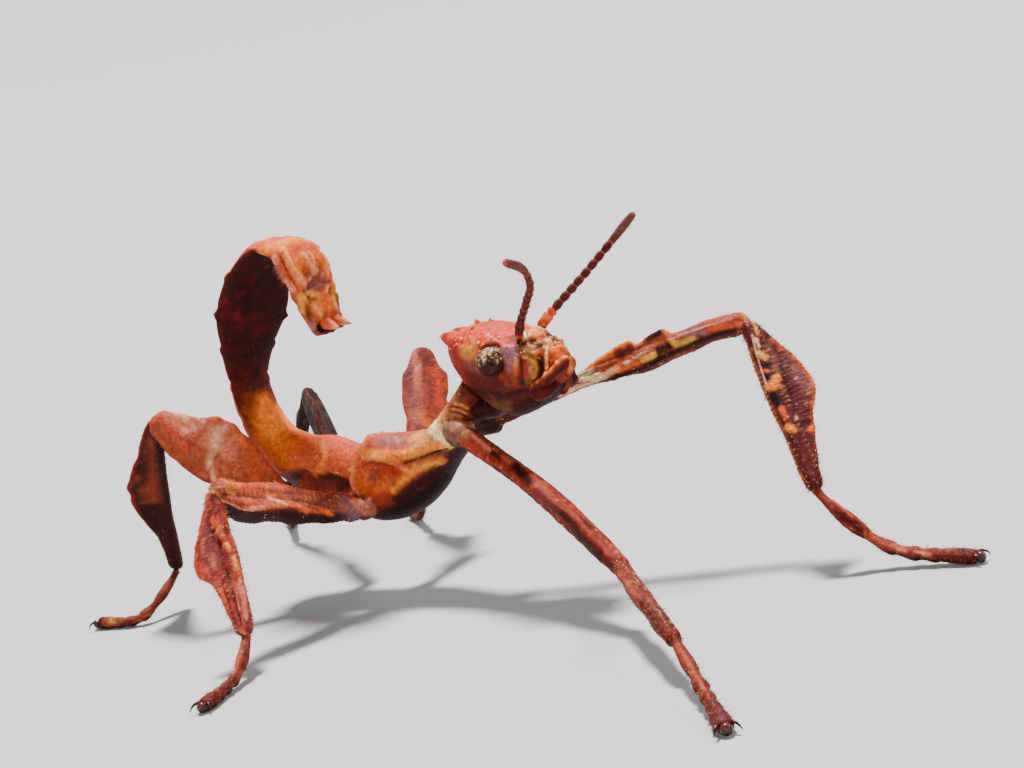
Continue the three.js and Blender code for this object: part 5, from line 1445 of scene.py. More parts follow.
def eye_sheet(side):
    """An eye: a ball flattened along the way it looks, with a fine relief, dark branching marks, dark over its
    lower half, partly painted shade, darker towards its rim, and a dark spot that faces the viewer."""
    rows, columns = EYE_GRID
    axis = unit(eye_axis(side))
    rise = np.linspace(0.04, np.pi - 0.04, rows)
    angle = np.linspace(0, 2 * np.pi, columns, endpoint=False)
    up = unit(np.array([0, 0, 1.0]) - axis[2] * axis)
    across = np.cross(axis, up)
    ring = EYE_TALL * np.cos(angle)[:, None] * up + EYE_LONG * np.sin(angle)[:, None] * across
    ball = np.sin(rise)[:, None, None] * ring[None] + EYE_BULGE * np.cos(rise)[:, None, None] * axis
    centre = np.array(EYE_CENTRE) * np.array([side, 1, 1])
    radius = EYE_RADIUS - 0.01
    sheet = Sheet(centre + radius * ball, rise / np.pi, angle, "eye")
    high = (sheet.points - centre) @ up / radius
    local = (sheet.points - centre) / radius
    warp = local + 0.22 * np.stack([cloud(local, 0.5, 61 + k) for k in range(3)], axis=-1)
    veins = np.minimum(np.abs(noise(warp, 0.30, 71)), np.abs(noise(warp, 0.17, 72)) + 0.03)
    dark = smooth(0.30, 0.13, veins + 0.10 * noise(local, 0.12, 76)) * 0.97
    # dark over the lower half of the eye: partly painted shade
    dark = np.maximum(dark, smooth(0.22, -0.30, high + 0.40 * cloud(local, 0.4, 73)) * 0.96)
    face = (sheet.points - centre) @ axis / radius
    dark = np.maximum(dark, smooth(0.35, 0.05, face) * 0.8)
    paint = wash(
        plain(local, "tan"),
        ("cream", smooth(-0.1, 0.5, cloud(local, 0.20, 74)) * 0.85),
        ("violet", smooth(-0.1, 0.4, cloud(local, 0.40, 77)) * 0.7),
        ("umber", dark))
    beside = (sheet.points - centre) @ across / radius * side
    pupil = np.exp(-((high + 0.18) ** 2 + (beside - 0.05) ** 2) / 0.05)
    sheet.paint = wash(paint, ("black", pupil * smooth(0.2, 0.6, face)))
    sheet.shine = sheet.shine + 0.60 - 0.35 * smooth(0.1, -0.3, high)
    sheet.swell(0.012 * cloud(local, 0.25, 75) + 0.014 * (1 - dark))
    return sheet


FEELER_RADIUS = 0.165
FEELER_JOINTS = (0.0, 0.118, 0.160, 0.235, 0.305, 0.375, 0.445, 0.515, 0.585, 0.66, 0.745, 1.001)
SCAPE = 0.155                # the feeler's two thick first joints end at this share of its length


def feeler_sheet(name):
    """A feeler: a tube of beads, each widest past its middle, on a thick flattened first joint."""
    near = name == "right"
    path = FEELERS[name]
    length = route(path)[1][-1]
    joints = np.array(FEELER_JOINTS)

    def bead(s):
        place = np.clip(np.searchsorted(joints, s, side="right") - 1, 0, len(joints) - 2)
        t = np.clip((s - joints[place]) / (joints[place + 1] - joints[place]), 0, 1)
        return place, t

    def radius(s):
        place, t = bead(s)
        thick = FEELER_RADIUS * (1.0 - 0.10 * s)
        thick = np.where(place == 0, 0.20 if near else 0.225, thick)
        thick = np.where(place == 1, 0.175 if near else 0.19, thick)
        swell = 0.74 + 0.30 * np.sin(np.pi * np.clip(t, 0, 1) ** 1.25) ** 0.7
        swell = np.where(place == 0, 0.84 + 0.14 * t - 0.22 * smooth(0.90, 1.0, t), swell)
        swell = np.where(place == 10, 0.80 + 0.30 * np.sin(np.pi * np.clip(t, 0, 1)) ** 0.6, swell)
        return thick * swell * domed(s, length, 0.16)

    sheet = tube_sheet(path, radius, 210, 26, flat=0.9, name="feeler_" + name)
    s = sheet.along
    place, t = bead(s)
    fine = cloud(sheet.points, 0.12, 81)
    paint = wash(plain(sheet.points, "plum"), ("maroon", smooth(-0.2, 0.4, fine)))
    joint = np.maximum(smooth(0.90, 1.0, t), smooth(0.08, 0.0, t)) * (place > 1)
    paint = wash(
        paint,
        ("clay", joint * 0.7),
        ("mauve", smooth(0.74, 0.85, s) * 0.55),
        ("salmon", smooth(0.975, 0.995, s) * 0.7))
    # painted shadow: the near feeler's thick first joint keeps the dark feeler colour past its very base
    scape = smooth(SCAPE + 0.01, SCAPE - 0.01, s) * (smooth(0.06, 0.02, s) * 0.8 if near else 1.0)
    sheet.paint = wash(
        paint,
        ("coral", scape),
        ("red", scape * smooth(0.08, 0.03, s) * 0.9),
        ("bright", scape * smooth(0.0, 0.4, cloud(sheet.points, 0.2, 82)) * 0.6),
        ("red", scape * bump(s, 0.118, 0.006) * 0.9),
        ("coral", scape * bump(s, 0.145, 0.012) * 0.8))
    sheet.shine = 0.30 + 0.2 * scape
    sheet.swell(0.014 * fine + 0.02 * scape * cloud(sheet.points, 0.2, 83))
    return sheet


# Paths of the palps on the left side. The left long palp is folded back from the right one by the fold.
LONG_PALP = ((0.88, -9.69, 7.90), (0.86, -10.46, 8.20), (0.62, -11.02, 8.58), (0.34, -11.36, 8.84))
LONG_PALP_FOLD = ((0, 0, 0), (0, 0.30, -0.20), (0, 0.60, -0.45), (0, 0.85, -0.75))
SHORT_PALP = ((0.45, -9.60, 7.42), (0.48, -10.15, 7.70), (0.30, -10.60, 8.02))
PALP_PAD = ((0.31, -11.34, 8.88), (0.29, -11.40, 8.62), (0.27, -11.18, 8.34), (0.26, -10.98, 8.12))
PALP_JOINTS = (0.0, 0.30, 0.62, 1.001)


def mouth_sheets():
    """The upper lip, the jaws behind it, and the four jointed palps."""
    sheets = []
    lip_path = ((0, -10.30, 8.85), (0, -10.62, 8.35), (0, -10.42, 7.85))
    lip = tube_sheet(lip_path, lambda s: 0.50 * domed(s, 1.1, 0.45) * (1 + 0.1 * np.sin(np.pi * s)), 34, 44,
                     blade=(1, 0, 0), flat=0.42, name="lip")
    lip.paint = wash(
        plain(lip.points, "orange"),
        ("brick", smooth(0.1, 0.5, lip.along)),
        ("maroon", smooth(0.45, 0.85, lip.along) * 0.8))
    lip.shine = lip.shine + 0.35
    lip.swell(0.02 * cloud(lip.points, 0.2, 91))
    sheets.append(lip)
    for side in (-1, 1):
        flip = np.array([side, 1, 1])
        jaw_path = np.array(((0.92, -9.72, 7.78), (0.80, -10.22, 7.80), (0.34, -10.52, 7.98))) * flip
        jaw = tube_sheet(jaw_path, lambda s: 0.30 * domed(s, 1.1, 0.35) * (1.1 - 0.3 * s), 30, 32, name="jaw")
        jaw.paint = wash(plain(jaw.points, "maroon"), ("umber", smooth(0.5, 0.95, jaw.along)))
        jaw.shine = jaw.shine + 0.15
        jaw.swell(0.02 * cloud(jaw.points, 0.25, 92))
        sheets.append(jaw)
        far = 1.0 * (side > 0)
        long_path = np.array(LONG_PALP) + far * np.array(LONG_PALP_FOLD)
        # painted shade darkens the far long palp and both short palps
        sheets += palp_sheets(side, long_path, 0.215, 93, 0.75 * far)
        sheets += palp_sheets(side, SHORT_PALP, 0.20, 96, 0.8)
        pad_path = (np.array(PALP_PAD) + far * np.array(LONG_PALP_FOLD[-1])) * flip
        pad = tube_sheet(pad_path, lambda s: 0.19 * domed(s, 0.85, 0.2) * (1 - 0.25 * s), 34, 28,
                         blade=(1, 0, 0), flat=0.8, name="pad")
        rim = bump(pad.along, 0.42, 0.26) * smooth(0.1, 0.7, np.abs(np.cos(pad.angle)))
        pad.paint = wash(
            plain(pad.points, "brick"),
            ("maroon", smooth(0.6, 0.9, pad.along)),
            ("peach", rim * 0.45),
            # painted shade over the far pad
            ("maroon", 0.8 * far))
        pad.shine = pad.shine + 0.25 - 0.2 * far
        pad.swell(0.015 * cloud(pad.points, 0.12, 99))
        sheets.append(pad)
    return sheets


def palp_sheets(side, points, radius, seed, shade=0.0):
    """A palp: three beads along a bent path, with painted light above, painted shade below and painted
    highlights in beads along its upper edge; shade lays painted shade over the whole palp.
    """
    path = np.array(points) * np.array([side, 1, 1])
    length = route(path)[1][-1]
    joints = np.array(PALP_JOINTS)

    def wide(s):
        place = np.clip(np.searchsorted(joints, s, side="right") - 1, 0, 2)
        t = np.clip((s - joints[place]) / (joints[place + 1] - joints[place]), 0, 1)
        return radius * (0.80 + 0.24 * np.sin(np.pi * t) ** 0.7) * domed(s, length, 0.22)

    palp = tube_sheet(path, wide, 56, 30, name="palp")
    above = np.cos(palp.angle)
    # painted light on the upper side, painted shade on the lower side
    paint = wash(
        plain(palp.points, "maroon"),
        ("rust", smooth(-0.1, 0.5, above)),
        ("orange", smooth(0.5, 0.85, above) * 0.7))
    turn = 2 * np.pi * palp.along * length / 0.33 + 3 * cloud(palp.points, 0.3, seed)
    # painted highlights in beads along the upper edge
    bead = smooth(-0.2, 0.7, np.cos(turn)) * smooth(0.35, 0.85, above)
    palp.paint = wash(
        paint,
        ("peach", bead * 0.7),
        ("brick", smooth(0.2, 0.7, cloud(palp.points, 0.25, seed)) * 0.6),
        # painted shade over the whole palp
        ("maroon", shade))
    palp.shine = palp.shine + 0.35 * (1 - shade)
    palp.swell(0.016 * cloud(palp.points, 0.16, seed + 1) + 0.03 * bead)
    return [palp]


CLAW = {"length": 0.56, "radius": 0.085, "apart": 0.11, "spread": 0.34}
ARCH_RADIUS = 0.20


def claw_sheets(name):
    """Two hooked claws at the tip of a foot, with the round glossy pad between them."""
    leg = LEGS[name]
    toe, instep = np.array(leg["toe"], float), np.array(leg["instep"], float)
    tip = toe + np.array([0, 0, FOOT_LIFT])
    way = unit((toe - instep) * np.array([1, 1, 0]))
    across = np.array([-way[1], way[0], 0])
    sheets = []
    for side in (-1, 1):
        root = tip - way * 0.26 + across * side * CLAW["apart"] + np.array([0, 0, 0.03])
        reach = CLAW["length"]
        path = (root, root + way * reach * 0.45 + across * side * 0.14 + np.array([0, 0, 0.10]),
                root + way * reach * 0.82 + across * side * 0.27 + np.array([0, 0, 0.0]),
                root + way * reach * 0.90 + across * side * CLAW["spread"] + np.array([0, 0, -0.17]))
        claw = tube_sheet(path, lambda s: CLAW["radius"] * (1 - 0.88 * s ** 1.2) * domed(s, 0.8, 0.10),
                          26, 14, name="claw")
        claw.paint = wash(plain(claw.points, "maroon"), ("black", smooth(0.3, 0.8, claw.along)))
        claw.shine = claw.shine + 0.9
        sheets.append(claw)
    ball_path = (tip - way * 0.10 + np.array([0, 0, -0.01]), tip + way * 0.10 + np.array([0, 0, -0.02]),
                 tip + way * 0.27 + np.array([0, 0, -0.03]))
    ball = tube_sheet(ball_path, lambda s: ARCH_RADIUS * domed(s, 0.37, 0.185), 26, 28, name="pad")
    ball.points[..., 2] = np.maximum(ball.points[..., 2], 0.0)
    ball.paint = wash(plain(ball.points, "umber"), ("plum", smooth(0.2, 0.7, np.cos(ball.angle))))
    ball.shine = ball.shine + 1.0
    sheets.append(ball)
    for sheet in sheets:
        sheet.points[..., 2] = np.maximum(sheet.points[..., 2], 0.0)
    return sheets


# ---- warts, granules and hairs
DOME = 8                     # columns of a granule


def find_sheet(name):
    """The sheet of the skin that has this name."""
    return next(sheet for sheet in surfaces().values() if sheet.name == name)


def wart_sheets():
    """Pointed warts of the crown on both sides, cream at the tip."""
    head = find_sheet("head")
    tree = head.tree()
    sheets = []
    for x, y, radius, height in WARTS:
        hit = EYEPOINT.seat(tree, (x, y))
        if hit is None:
            continue
        normal = np.array(tree.find_nearest(Vector(hit))[1])
        lean = unit(normal + np.array([0, 0, 0.5]))
        for flip in (np.array([1, 1, 1]), np.array([-1, 1, 1])):
            foot = (hit - normal * 0.06) * flip
            wart = spike_sheet(foot, foot + lean * flip * (height + 0.06), radius, 10, 12)
            wart.paint = wash(plain(wart.points, "coral"), ("cream", smooth(0.45, 0.80, wart.along)))
            wart.shine = wart.shine + 0.7
            sheets.append(wart)
    return sheets


def scatter(sheet, count, seed, chance):
    """Random places on a sheet, each kept by the chance there, with the surface's outward and forward vectors
    and its row and column."""
    draw = np.random.default_rng(SEED + seed)
    rows, columns = sheet.points.shape[:2]
    i = draw.integers(2, rows - 2, count)
    j = draw.integers(0, columns, count)
    keep = draw.random(count) < chance[i, j]
    i, j = i[keep], j[keep]
    slide = draw.random((2, len(i)))[..., None]
    here, ahead = sheet.points[i, j], sheet.points[i + 1, j]
    beside = sheet.points[i, (j + 1) % columns]
    place = here + (ahead - here) * slide[0] + (beside - here) * slide[1] * 0.98
    return place, sheet.normals()[i, j], unit(ahead - here), i, j


def granule_arrays(place, normal, radius, height):
    """Low domes: a ring of points sunk under the skin, a smaller ring above it and a top."""
    side = unit(np.cross(normal, np.array([0.31, 0.52, 0.79])))
    up = np.cross(normal, side)
    angle = np.linspace(0, 2 * np.pi, DOME, endpoint=False)
    ring = np.cos(angle)[:, None, None] * side + np.sin(angle)[:, None, None] * up
    rings = [place - normal * 0.02 + ring * radius[:, None],
             place + normal * (height * 0.55)[:, None] + ring * (radius * 0.78)[:, None]]
    tops = [place + normal * height[:, None], place - normal * 0.03]
    count = len(place)
    stack = np.stack(rings).transpose(2, 0, 1, 3).reshape(count, 2 * DOME, 3)
    points = np.concatenate([stack, tops[0][:, None], tops[1][:, None]], axis=1)
    k = np.arange(DOME)
    turned = (k + 1) % DOME
    quads = np.stack([k, turned, turned + DOME, k + DOME], axis=-1)
    caps = np.stack([k + DOME, turned + DOME, np.full(DOME, 2 * DOME)], axis=-1)
    feet = np.stack([turned, k, np.full(DOME, 2 * DOME + 1)], axis=-1)
    step = (np.arange(count) * (2 * DOME + 2))[:, None, None]
    triangles = np.concatenate([caps, feet])
    return points, (quads[None] + step).reshape(-1, 4), (triangles[None] + step).reshape(-1, 3)


LEG_GRAINS = {"front_left": 900, "front_right": 220, "middle_right": 560}


def build_granules(material, density):
    """Small round grains on the crown, on the back of the thorax and along the legs."""
    points, quads, triangles, paint = [], [], [], []
    first = 0
    plans = [
        ("head", 2600, lambda s: smooth(0.15, 0.6, np.sin(s.angle)) * smooth(5.2, 4.6, s.along) * 0.3, 0.030),
        ("trunk", 3600, lambda s: smooth(0, 0.5, np.sin(s.angle)) * smooth(9.2, 8.4, s.along) * 0.35, 0.032)]
    for name, count in LEG_GRAINS.items():
        plans += [
            ("thigh_" + name, count, lambda s: bump(np.abs(s.across), ROD, 0.06) * 0.5 + 0.12, 0.026),
            ("shin_" + name, count, lambda s: bump(np.abs(s.across), ROD, 0.06) * 0.4 + 0.15, 0.024)]
    for seed, (name, count, chance, size) in enumerate(plans):
        sheet = find_sheet(name)
        field = chance(sheet)
        place, normal, _, i, j = scatter(sheet, int(count * density), seed, field)
        draw = np.random.default_rng(SEED + 50 + seed)
        radius = size * (0.7 + 0.9 * draw.random(len(place)) ** 2)
        p, q, t = granule_arrays(place, normal, radius, radius * 0.8)
        points.append(p.reshape(-1, 3))
        quads.append(q + first)
        triangles.append(t + first)
        first += len(points[-1])
        tone = mix(sheet.paint[i, j], PALETTE["cream"], 0.18 + 0.5 * draw.random(len(place)) ** 2)
        paint.append(np.repeat(tone, 2 * DOME + 2, axis=0))
    mesh = fill_mesh("granules", np.vstack(points), np.vstack(quads), np.vstack(triangles))
    paint = np.vstack(paint)
    set_paint(mesh, paint, np.full(len(paint), 0.7))
    mesh.materials.append(material)
    return add_object("granules", mesh)


HAIR_RADIUS = 0.011


def hair_arrays(place, way, length, radius):
    """Hairs: three-sided cones from a sunk foot to a point."""
    side = unit(np.cross(way, np.array([0.43, 0.11, 0.89])))
    up = np.cross(way, side)
    angle = np.radians([0, 120, 240])
    foot = place - way * 0.03
    rings = [foot + (np.cos(a) * side + np.sin(a) * up) * radius[:, None] for a in angle]
    points = np.stack(rings + [place + way * length[:, None]], axis=1)
    faces = np.array([[0, 1, 3], [1, 2, 3], [2, 0, 3], [0, 2, 1]])
    step = (np.arange(len(place)) * 4)[:, None, None]
    return points, (faces[None] + step).reshape(-1, 3)


def build_hairs(material, length, density):
    """Short stiff hairs: on the margins of the shins and thighs, on the feet, feelers, mouth and back."""
    plans = []
    for name in LEGS:
        share = 1.0 if name in GRID_SHARE else 0.5
        plans.append((find_sheet("shin_" + name), int(1500 * share), 0.75,
                      lambda s: smooth(0.78, 0.95, np.abs(s.share)) * 0.5 + 0.05))
        plans.append((find_sheet("thigh_" + name), int(1000 * share), 0.5,
                      lambda s: smooth(0.80, 0.95, np.abs(s.share)) * 0.3 + 0.03))
        plans.append((find_sheet("foot_" + name), int(700 * share), 0.7,
                      lambda s: 0.12 + 0.45 * (s.along > 0.3)))
    for place, name in enumerate(FEELERS):
        sheet = feeler_sheet(name)
        sheet.unwrap = (0.94, 0.05 + 0.1 * place, 0.05, 0.08)
        plans.append((sheet, 900, 0.40, lambda s: 0.35 * smooth(0.12, 0.2, s.along)))
    plans.append((find_sheet("head"), 1600, 0.5, lambda s: 0.05 + 0.25 * smooth(5.0, 6.0, s.along)))
    plans.append((find_sheet("trunk"), 2200, 0.5, lambda s: 0.06 + 0 * s.along))
    points, faces, paint, uvs = [], [], [], []
    first = 0
    for seed, (sheet, count, share, chance) in enumerate(plans):
        field = chance(sheet)
        place, normal, ahead, i, j = scatter(sheet, int(count * density), 200 + seed, field)
        draw = np.random.default_rng(SEED + 400 + seed)
        way = unit(normal + ahead * 0.55 + draw.normal(0, 0.18, place.shape))
        size = length * share * (0.6 + 0.6 * draw.random(len(place)))
        keep = (place + way * size[:, None])[:, 2] > 0.02
        place, way, size, i, j = place[keep], way[keep], size[keep], i[keep], j[keep]
        thick = HAIR_RADIUS * (0.8 + 0.5 * draw.random(len(place)))
        p, f = hair_arrays(place, way, size, thick)
        points.append(p.reshape(-1, 3))
        faces.append(f + first)
        first += len(points[-1])
        tone = mix(sheet.paint[i, j], PALETTE["cream"], np.full(len(place), 0.45))
        tones = np.stack([sheet.paint[i, j]] * 3 + [tone], axis=1)
        paint.append(tones.reshape(-1, 3))
        rows, columns = sheet.points.shape[:2]
        x0, y0, wide, tall = sheet.unwrap
        root = np.column_stack([x0 + wide * (j + 0.5) / columns, y0 + tall * (i + 0.5) / rows])
        patch = np.array([[0, 0], [0.003, 0], [0, 0.003], [0.003, 0.003]])
        uvs.append((root[:, None] + patch[None]).reshape(-1, 2))
    points, faces, paint, uvs = np.vstack(points), np.vstack(faces), np.vstack(paint), np.vstack(uvs)
    mesh = fill_mesh("hairs", points, np.zeros((0, 4), int), faces)
    set_paint(mesh, paint, np.full(len(paint), 0.6))
    layer = mesh.uv_layers.new(name="OFBake")
    corners = np.empty(len(mesh.loops), int)
    mesh.loops.foreach_get("vertex_index", corners)
    layer.data.foreach_set("uv", uvs[corners].astype(np.float32).ravel())
    mesh.materials.append(material)
    return add_object("hairs", mesh)


# ---- materials
DETAIL_DEFAULTS = {"Grain size": 0.0001, "Mottle": 0.5}
SPECULAR = 0.14              # a cuticle's reflection, where 0.5 is that of plastic


def add_node(nodes, kind, values=None, **settings):
    """A new node with its settings, and with values in the inputs that are named or numbered."""
    node = nodes.new("ShaderNode" + kind)
    for key, value in settings.items():
        setattr(node, key, value)
    for key, value in (values or {}).items():
        node.inputs[key].default_value = value
    return node


def wire(links, *routes):
    """Links nodes: each route has a node and its output, then a node and its input."""
    for source, output, target, entry in routes:
        links.new(source.outputs[output], target.inputs[entry])


def detail_group():
    """Node group: breaks up a colour with fine specks and gives the height of a pebbled, wrinkled cuticle."""
    group = bpy.data.node_groups.new("Cuticle detail", "ShaderNodeTree")
    for name, way, kind in (("Paint", "INPUT", "Color"), ("Shine", "INPUT", "Float"),
                            ("Grain size", "INPUT", "Float"), ("Mottle", "INPUT", "Float"),
                            ("Base Color", "OUTPUT", "Color"), ("Roughness", "OUTPUT", "Float"),
                            ("Coat Weight", "OUTPUT", "Float"), ("Bump Height", "OUTPUT", "Float")):
        socket = group.interface.new_socket(name, in_out=way, socket_type="NodeSocket" + kind)
        if name in DETAIL_DEFAULTS:
            socket.default_value = DETAIL_DEFAULTS[name]
    nodes = group.nodes
    given, result = nodes.new("NodeGroupInput"), nodes.new("NodeGroupOutput")
    place = add_node(nodes, "TexCoord")
    scale = add_node(nodes, "Math", {0: 1.0}, operation="DIVIDE")
    cells = add_node(nodes, "TexVoronoi", feature="SMOOTH_F1")
    rough = add_node(nodes, "TexNoise", {"Scale": 5500, "Detail": 4})
    wide = add_node(nodes, "TexNoise", {"Scale": 1500, "Detail": 3})
    tone = add_node(nodes, "MapRange", {"From Min": 0.35, "From Max": 0.68, "To Min": 0.62, "To Max": 1.30})
    shade = add_node(nodes, "Mix", data_type="RGBA", blend_type="MULTIPLY", clamp_result=False)
    gloss = add_node(nodes, "MapRange", {"To Min": 0.62, "To Max": 0.24})
    spread = add_node(nodes, "Math", {1: 0.25}, operation="MULTIPLY_ADD")
    coat = add_node(nodes, "Math", {1: 0.8, 2: -0.32}, operation="MULTIPLY_ADD", use_clamp=True)
    height = add_node(nodes, "Math", {1: 0.7}, operation="MULTIPLY_ADD")
    wire(group.links,
         (given, "Grain size", scale, 1), (place, "Object", cells, "Vector"), (scale, 0, cells, "Scale"),
         (place, "Object", rough, "Vector"), (place, "Object", wide, "Vector"), (rough, "Fac", tone, "Value"),
         (given, "Mottle", shade, "Factor"), (given, "Paint", shade, "A"), (tone, "Result", shade, "B"),
         (shade, "Result", result, "Base Color"), (given, "Shine", gloss, "Value"), (wide, "Fac", spread, 0),
         (gloss, "Result", spread, 2), (spread, 0, result, "Roughness"), (given, "Shine", coat, 0),
         (coat, 0, result, "Coat Weight"), (rough, "Fac", height, 0), (cells, "Distance", height, 2),
         (height, 0, result, "Bump Height"))
    return group


def make_material(name, grain, mottle, bump_depth, coat_roughness=0.15):
    """A cuticle material: the piece's own paint and gloss through the detail group."""
    material = bpy.data.materials.new(name)
    material.use_nodes = True
    nodes = material.node_tree.nodes
    shader = nodes["Principled BSDF"]
    shader.inputs["Coat Roughness"].default_value = coat_roughness
    shader.inputs["Specular IOR Level"].default_value = SPECULAR
    detail = bpy.data.node_groups.get("Cuticle detail") or detail_group()
    group = add_node(nodes, "Group", {"Grain size": grain, "Mottle": mottle}, node_tree=detail)
    paint = add_node(nodes, "Attribute", attribute_name="paint")
    shine = add_node(nodes, "Attribute", attribute_name="shine")
    relief = add_node(nodes, "Bump", {"Strength": 0.6, "Distance": bump_depth})
    wire(material.node_tree.links,
         (paint, "Color", group, "Paint"), (shine, "Fac", group, "Shine"),
         (group, "Base Color", shader, "Base Color"), (group, "Roughness", shader, "Roughness"),
         (group, "Coat Weight", shader, "Coat Weight"), (group, "Bump Height", relief, "Height"),
         (relief, "Normal", shader, "Normal"))
    return material


def flat_material(name, colour, roughness):
    """A material of one colour."""
    material = bpy.data.materials.new(name)
    material.use_nodes = True
    shader = material.node_tree.nodes["Principled BSDF"]
    shader.inputs["Base Color"].default_value = (*colour, 1)
    shader.inputs["Roughness"].default_value = roughness
    return material


# ---- stage
FLOOR_DROP = 0.03            # the floor lies this far under the feet
LAMP_DISTANCE = 200          # a lamp of this kind lights alike from any distance


def build_stage(power, floor_tone):
    """A shallow pale bowl for floor and background, lights and the camera at the viewpoint."""
    steps, flat, bowl, columns = 24, 0.6, 0.9, 96
    tilt = np.radians(np.linspace(6, 90, 18))
    radii = np.concatenate([np.linspace(0.01, flat, steps), flat + bowl * np.sin(tilt)]) / MM
    rise = np.concatenate([np.zeros(steps), bowl * (1 - np.cos(tilt))]) / MM
    angle = np.linspace(0, 2 * np.pi, columns, endpoint=False)
    across, along = radii[:, None] * np.cos(angle), radii[:, None] * np.sin(angle)
    grid = np.stack([across, along, rise[:, None] + 0 * angle - FLOOR_DROP], axis=-1)
    index = np.arange(grid.shape[0] * columns).reshape(-1, columns)
    turned = np.roll(index, -1, axis=1)
    quads = np.stack([index[:-1], index[1:], turned[1:], turned[:-1]], axis=-1).reshape(-1, 4)
    hub = np.array([[0, 0, -FLOOR_DROP]])
    fan = np.stack([np.full(columns, index.size), index[0], turned[0]], axis=-1)
    mesh = fill_mesh("floor", np.vstack([grid.reshape(-1, 3), hub]), quads, fan)
    mesh.materials.append(flat_material("floor", (floor_tone,) * 3, 0.9))
    add_object("floor", mesh)
    behind = -EYEPOINT.back * np.array([1, 1, 0])
    beside = EYEPOINT.right * np.array([1, 1, 0])
    high = np.array([0, 0, 1.0])
    for name, way, share, spread in (("key", high + 0.34 * behind + 0.02 * beside, 1.0, 9),
                                     ("fill", 0.5 * high - behind - 0.7 * beside, 0.09, 60),
                                     ("side", 0.8 * high + 0.2 * behind + beside, 0.14, 40)):
        light = bpy.data.lights.new(name, "SUN")
        light.energy = power * share
        light.angle = np.radians(spread)
        lamp = bpy.data.objects.new(name, light)
        bpy.context.scene.collection.objects.link(lamp)
        back = unit(way)
        side = unit(np.cross([0, 1.0, 0.01], back))
        lamp.matrix_world = camera_matrix(side, np.cross(back, side), back, back * LAMP_DISTANCE)
    world = bpy.data.worlds.new("world")
    bpy.context.scene.world = world
    world.use_nodes = True
    world.node_tree.nodes["Background"].inputs["Color"].default_value = (0.80, 0.83, 0.86, 1)
    world.node_tree.nodes["Background"].inputs["Strength"].default_value = 0.22
    camera = bpy.data.cameras.new("camera")
    camera.sensor_width = SENSOR
    camera.lens = VIEW["focal"] * SENSOR / VIEW["width"]
    camera.clip_start = 0.001
    camera.clip_end = 10
    eye = bpy.data.objects.new("camera", camera)
    bpy.context.scene.collection.objects.link(eye)
    eye.matrix_world = camera_matrix(EYEPOINT.right, EYEPOINT.up, EYEPOINT.back, EYEPOINT.place)
    bpy.context.scene.camera = eye


def camera_matrix(right, up, back, place):
    """World matrix of an object whose own axes are right, up and back, at a place in millimetres."""
    matrix = Matrix.Identity(4)
    spot = (place + SHIFT) * MM
    for row in range(3):
        matrix[row][0], matrix[row][1], matrix[row][2] = right[row], up[row], back[row]
        matrix[row][3] = spot[row]
    return matrix


# ---- settings, operators and panel
def colour_property(name, key, description):
    """A colour setting whose default is a colour of the palette."""
    return bpy.props.FloatVectorProperty(name=name, description=description, subtype="COLOR", size=3, min=0.0,
                                         max=1.0, default=tuple(float(v) for v in PALETTE[key]))


class InsectColours(bpy.types.PropertyGroup):
    """Colours a user may change; each replaces the colour of the same place in the palette."""

    salmon: colour_property("Crown and back", "salmon", "Colour of the crown, the back and the pale legs")
    orange: colour_property("Abdomen", "orange", "Colour of the abdomen's base and of the face")
    maroon: colour_property("Shadowed parts", "maroon", "Colour of the cheeks, feelers and dark shins")
    cream: colour_property("Collar and spine tips", "cream", "Colour of the collar and of the spines' tips")


class InsectSizes(bpy.types.PropertyGroup):
    """Sizes and amounts a user may change."""

    hair_length: bpy.props.FloatProperty(name="Hair length", description="Length of the longest hairs",
                                         default=0.00030, min=0.00005, max=0.001, unit="LENGTH", precision=5)
    hair_density: bpy.props.FloatProperty(name="Hair density", default=1.0, min=0.0, max=3.0,
                                          description="Number of hairs, as a share of the usual",
                                          subtype="FACTOR")
    grain_density: bpy.props.FloatProperty(name="Grain density", default=1.0, min=0.0, max=3.0,
                                           description="Number of grains, as a share of the usual",
                                           subtype="FACTOR")
    grain_size: bpy.props.FloatProperty(name="Pebble size", default=0.00009, min=0.00002, max=0.001,
                                        description="Size of the pebbles in the skin's relief",
                                        unit="LENGTH", precision=5)
    relief: bpy.props.FloatProperty(name="Relief depth", description="Depth of the skin's fine relief",
                                    default=0.00003, min=0.0, max=0.0002, unit="LENGTH", precision=5)
    light_power: bpy.props.FloatProperty(name="Light power", default=8.8, min=0.0, max=50.0,
                                         description="Strength of the main lamp in watts on a square metre")
    floor_tone: bpy.props.FloatProperty(name="Floor tone", default=0.48, min=0.0, max=1.0, subtype="FACTOR",
                                        description="Brightness of the floor")


def settings():
    """The scene's sizes, after its colours have been put in the palette."""
    colours = bpy.context.scene.insect_colours
    for key in ("salmon", "orange", "maroon", "cream"):
        PALETTE[key] = np.array(getattr(colours, key), float)
    return bpy.context.scene.insect_sizes


class INSECT_OT_skin(bpy.types.Operator):
    """Builds the one skin of head, body and legs"""

    bl_idname = "insect.skin"
    bl_label = "Skin"

    def execute(self, context):
        sizes = settings()
        skin = build_skin(make_material("cuticle", sizes.grain_size, 0.8, sizes.relief))
        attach(skin, "root")
        nodes = ["head"] + [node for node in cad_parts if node.startswith(
            ("prothorax", "mesothorax", "metathorax", "abdomen_", "hip_", "thigh_", "shin_", "foot_"))]
        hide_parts(*nodes)
        return {"FINISHED"}


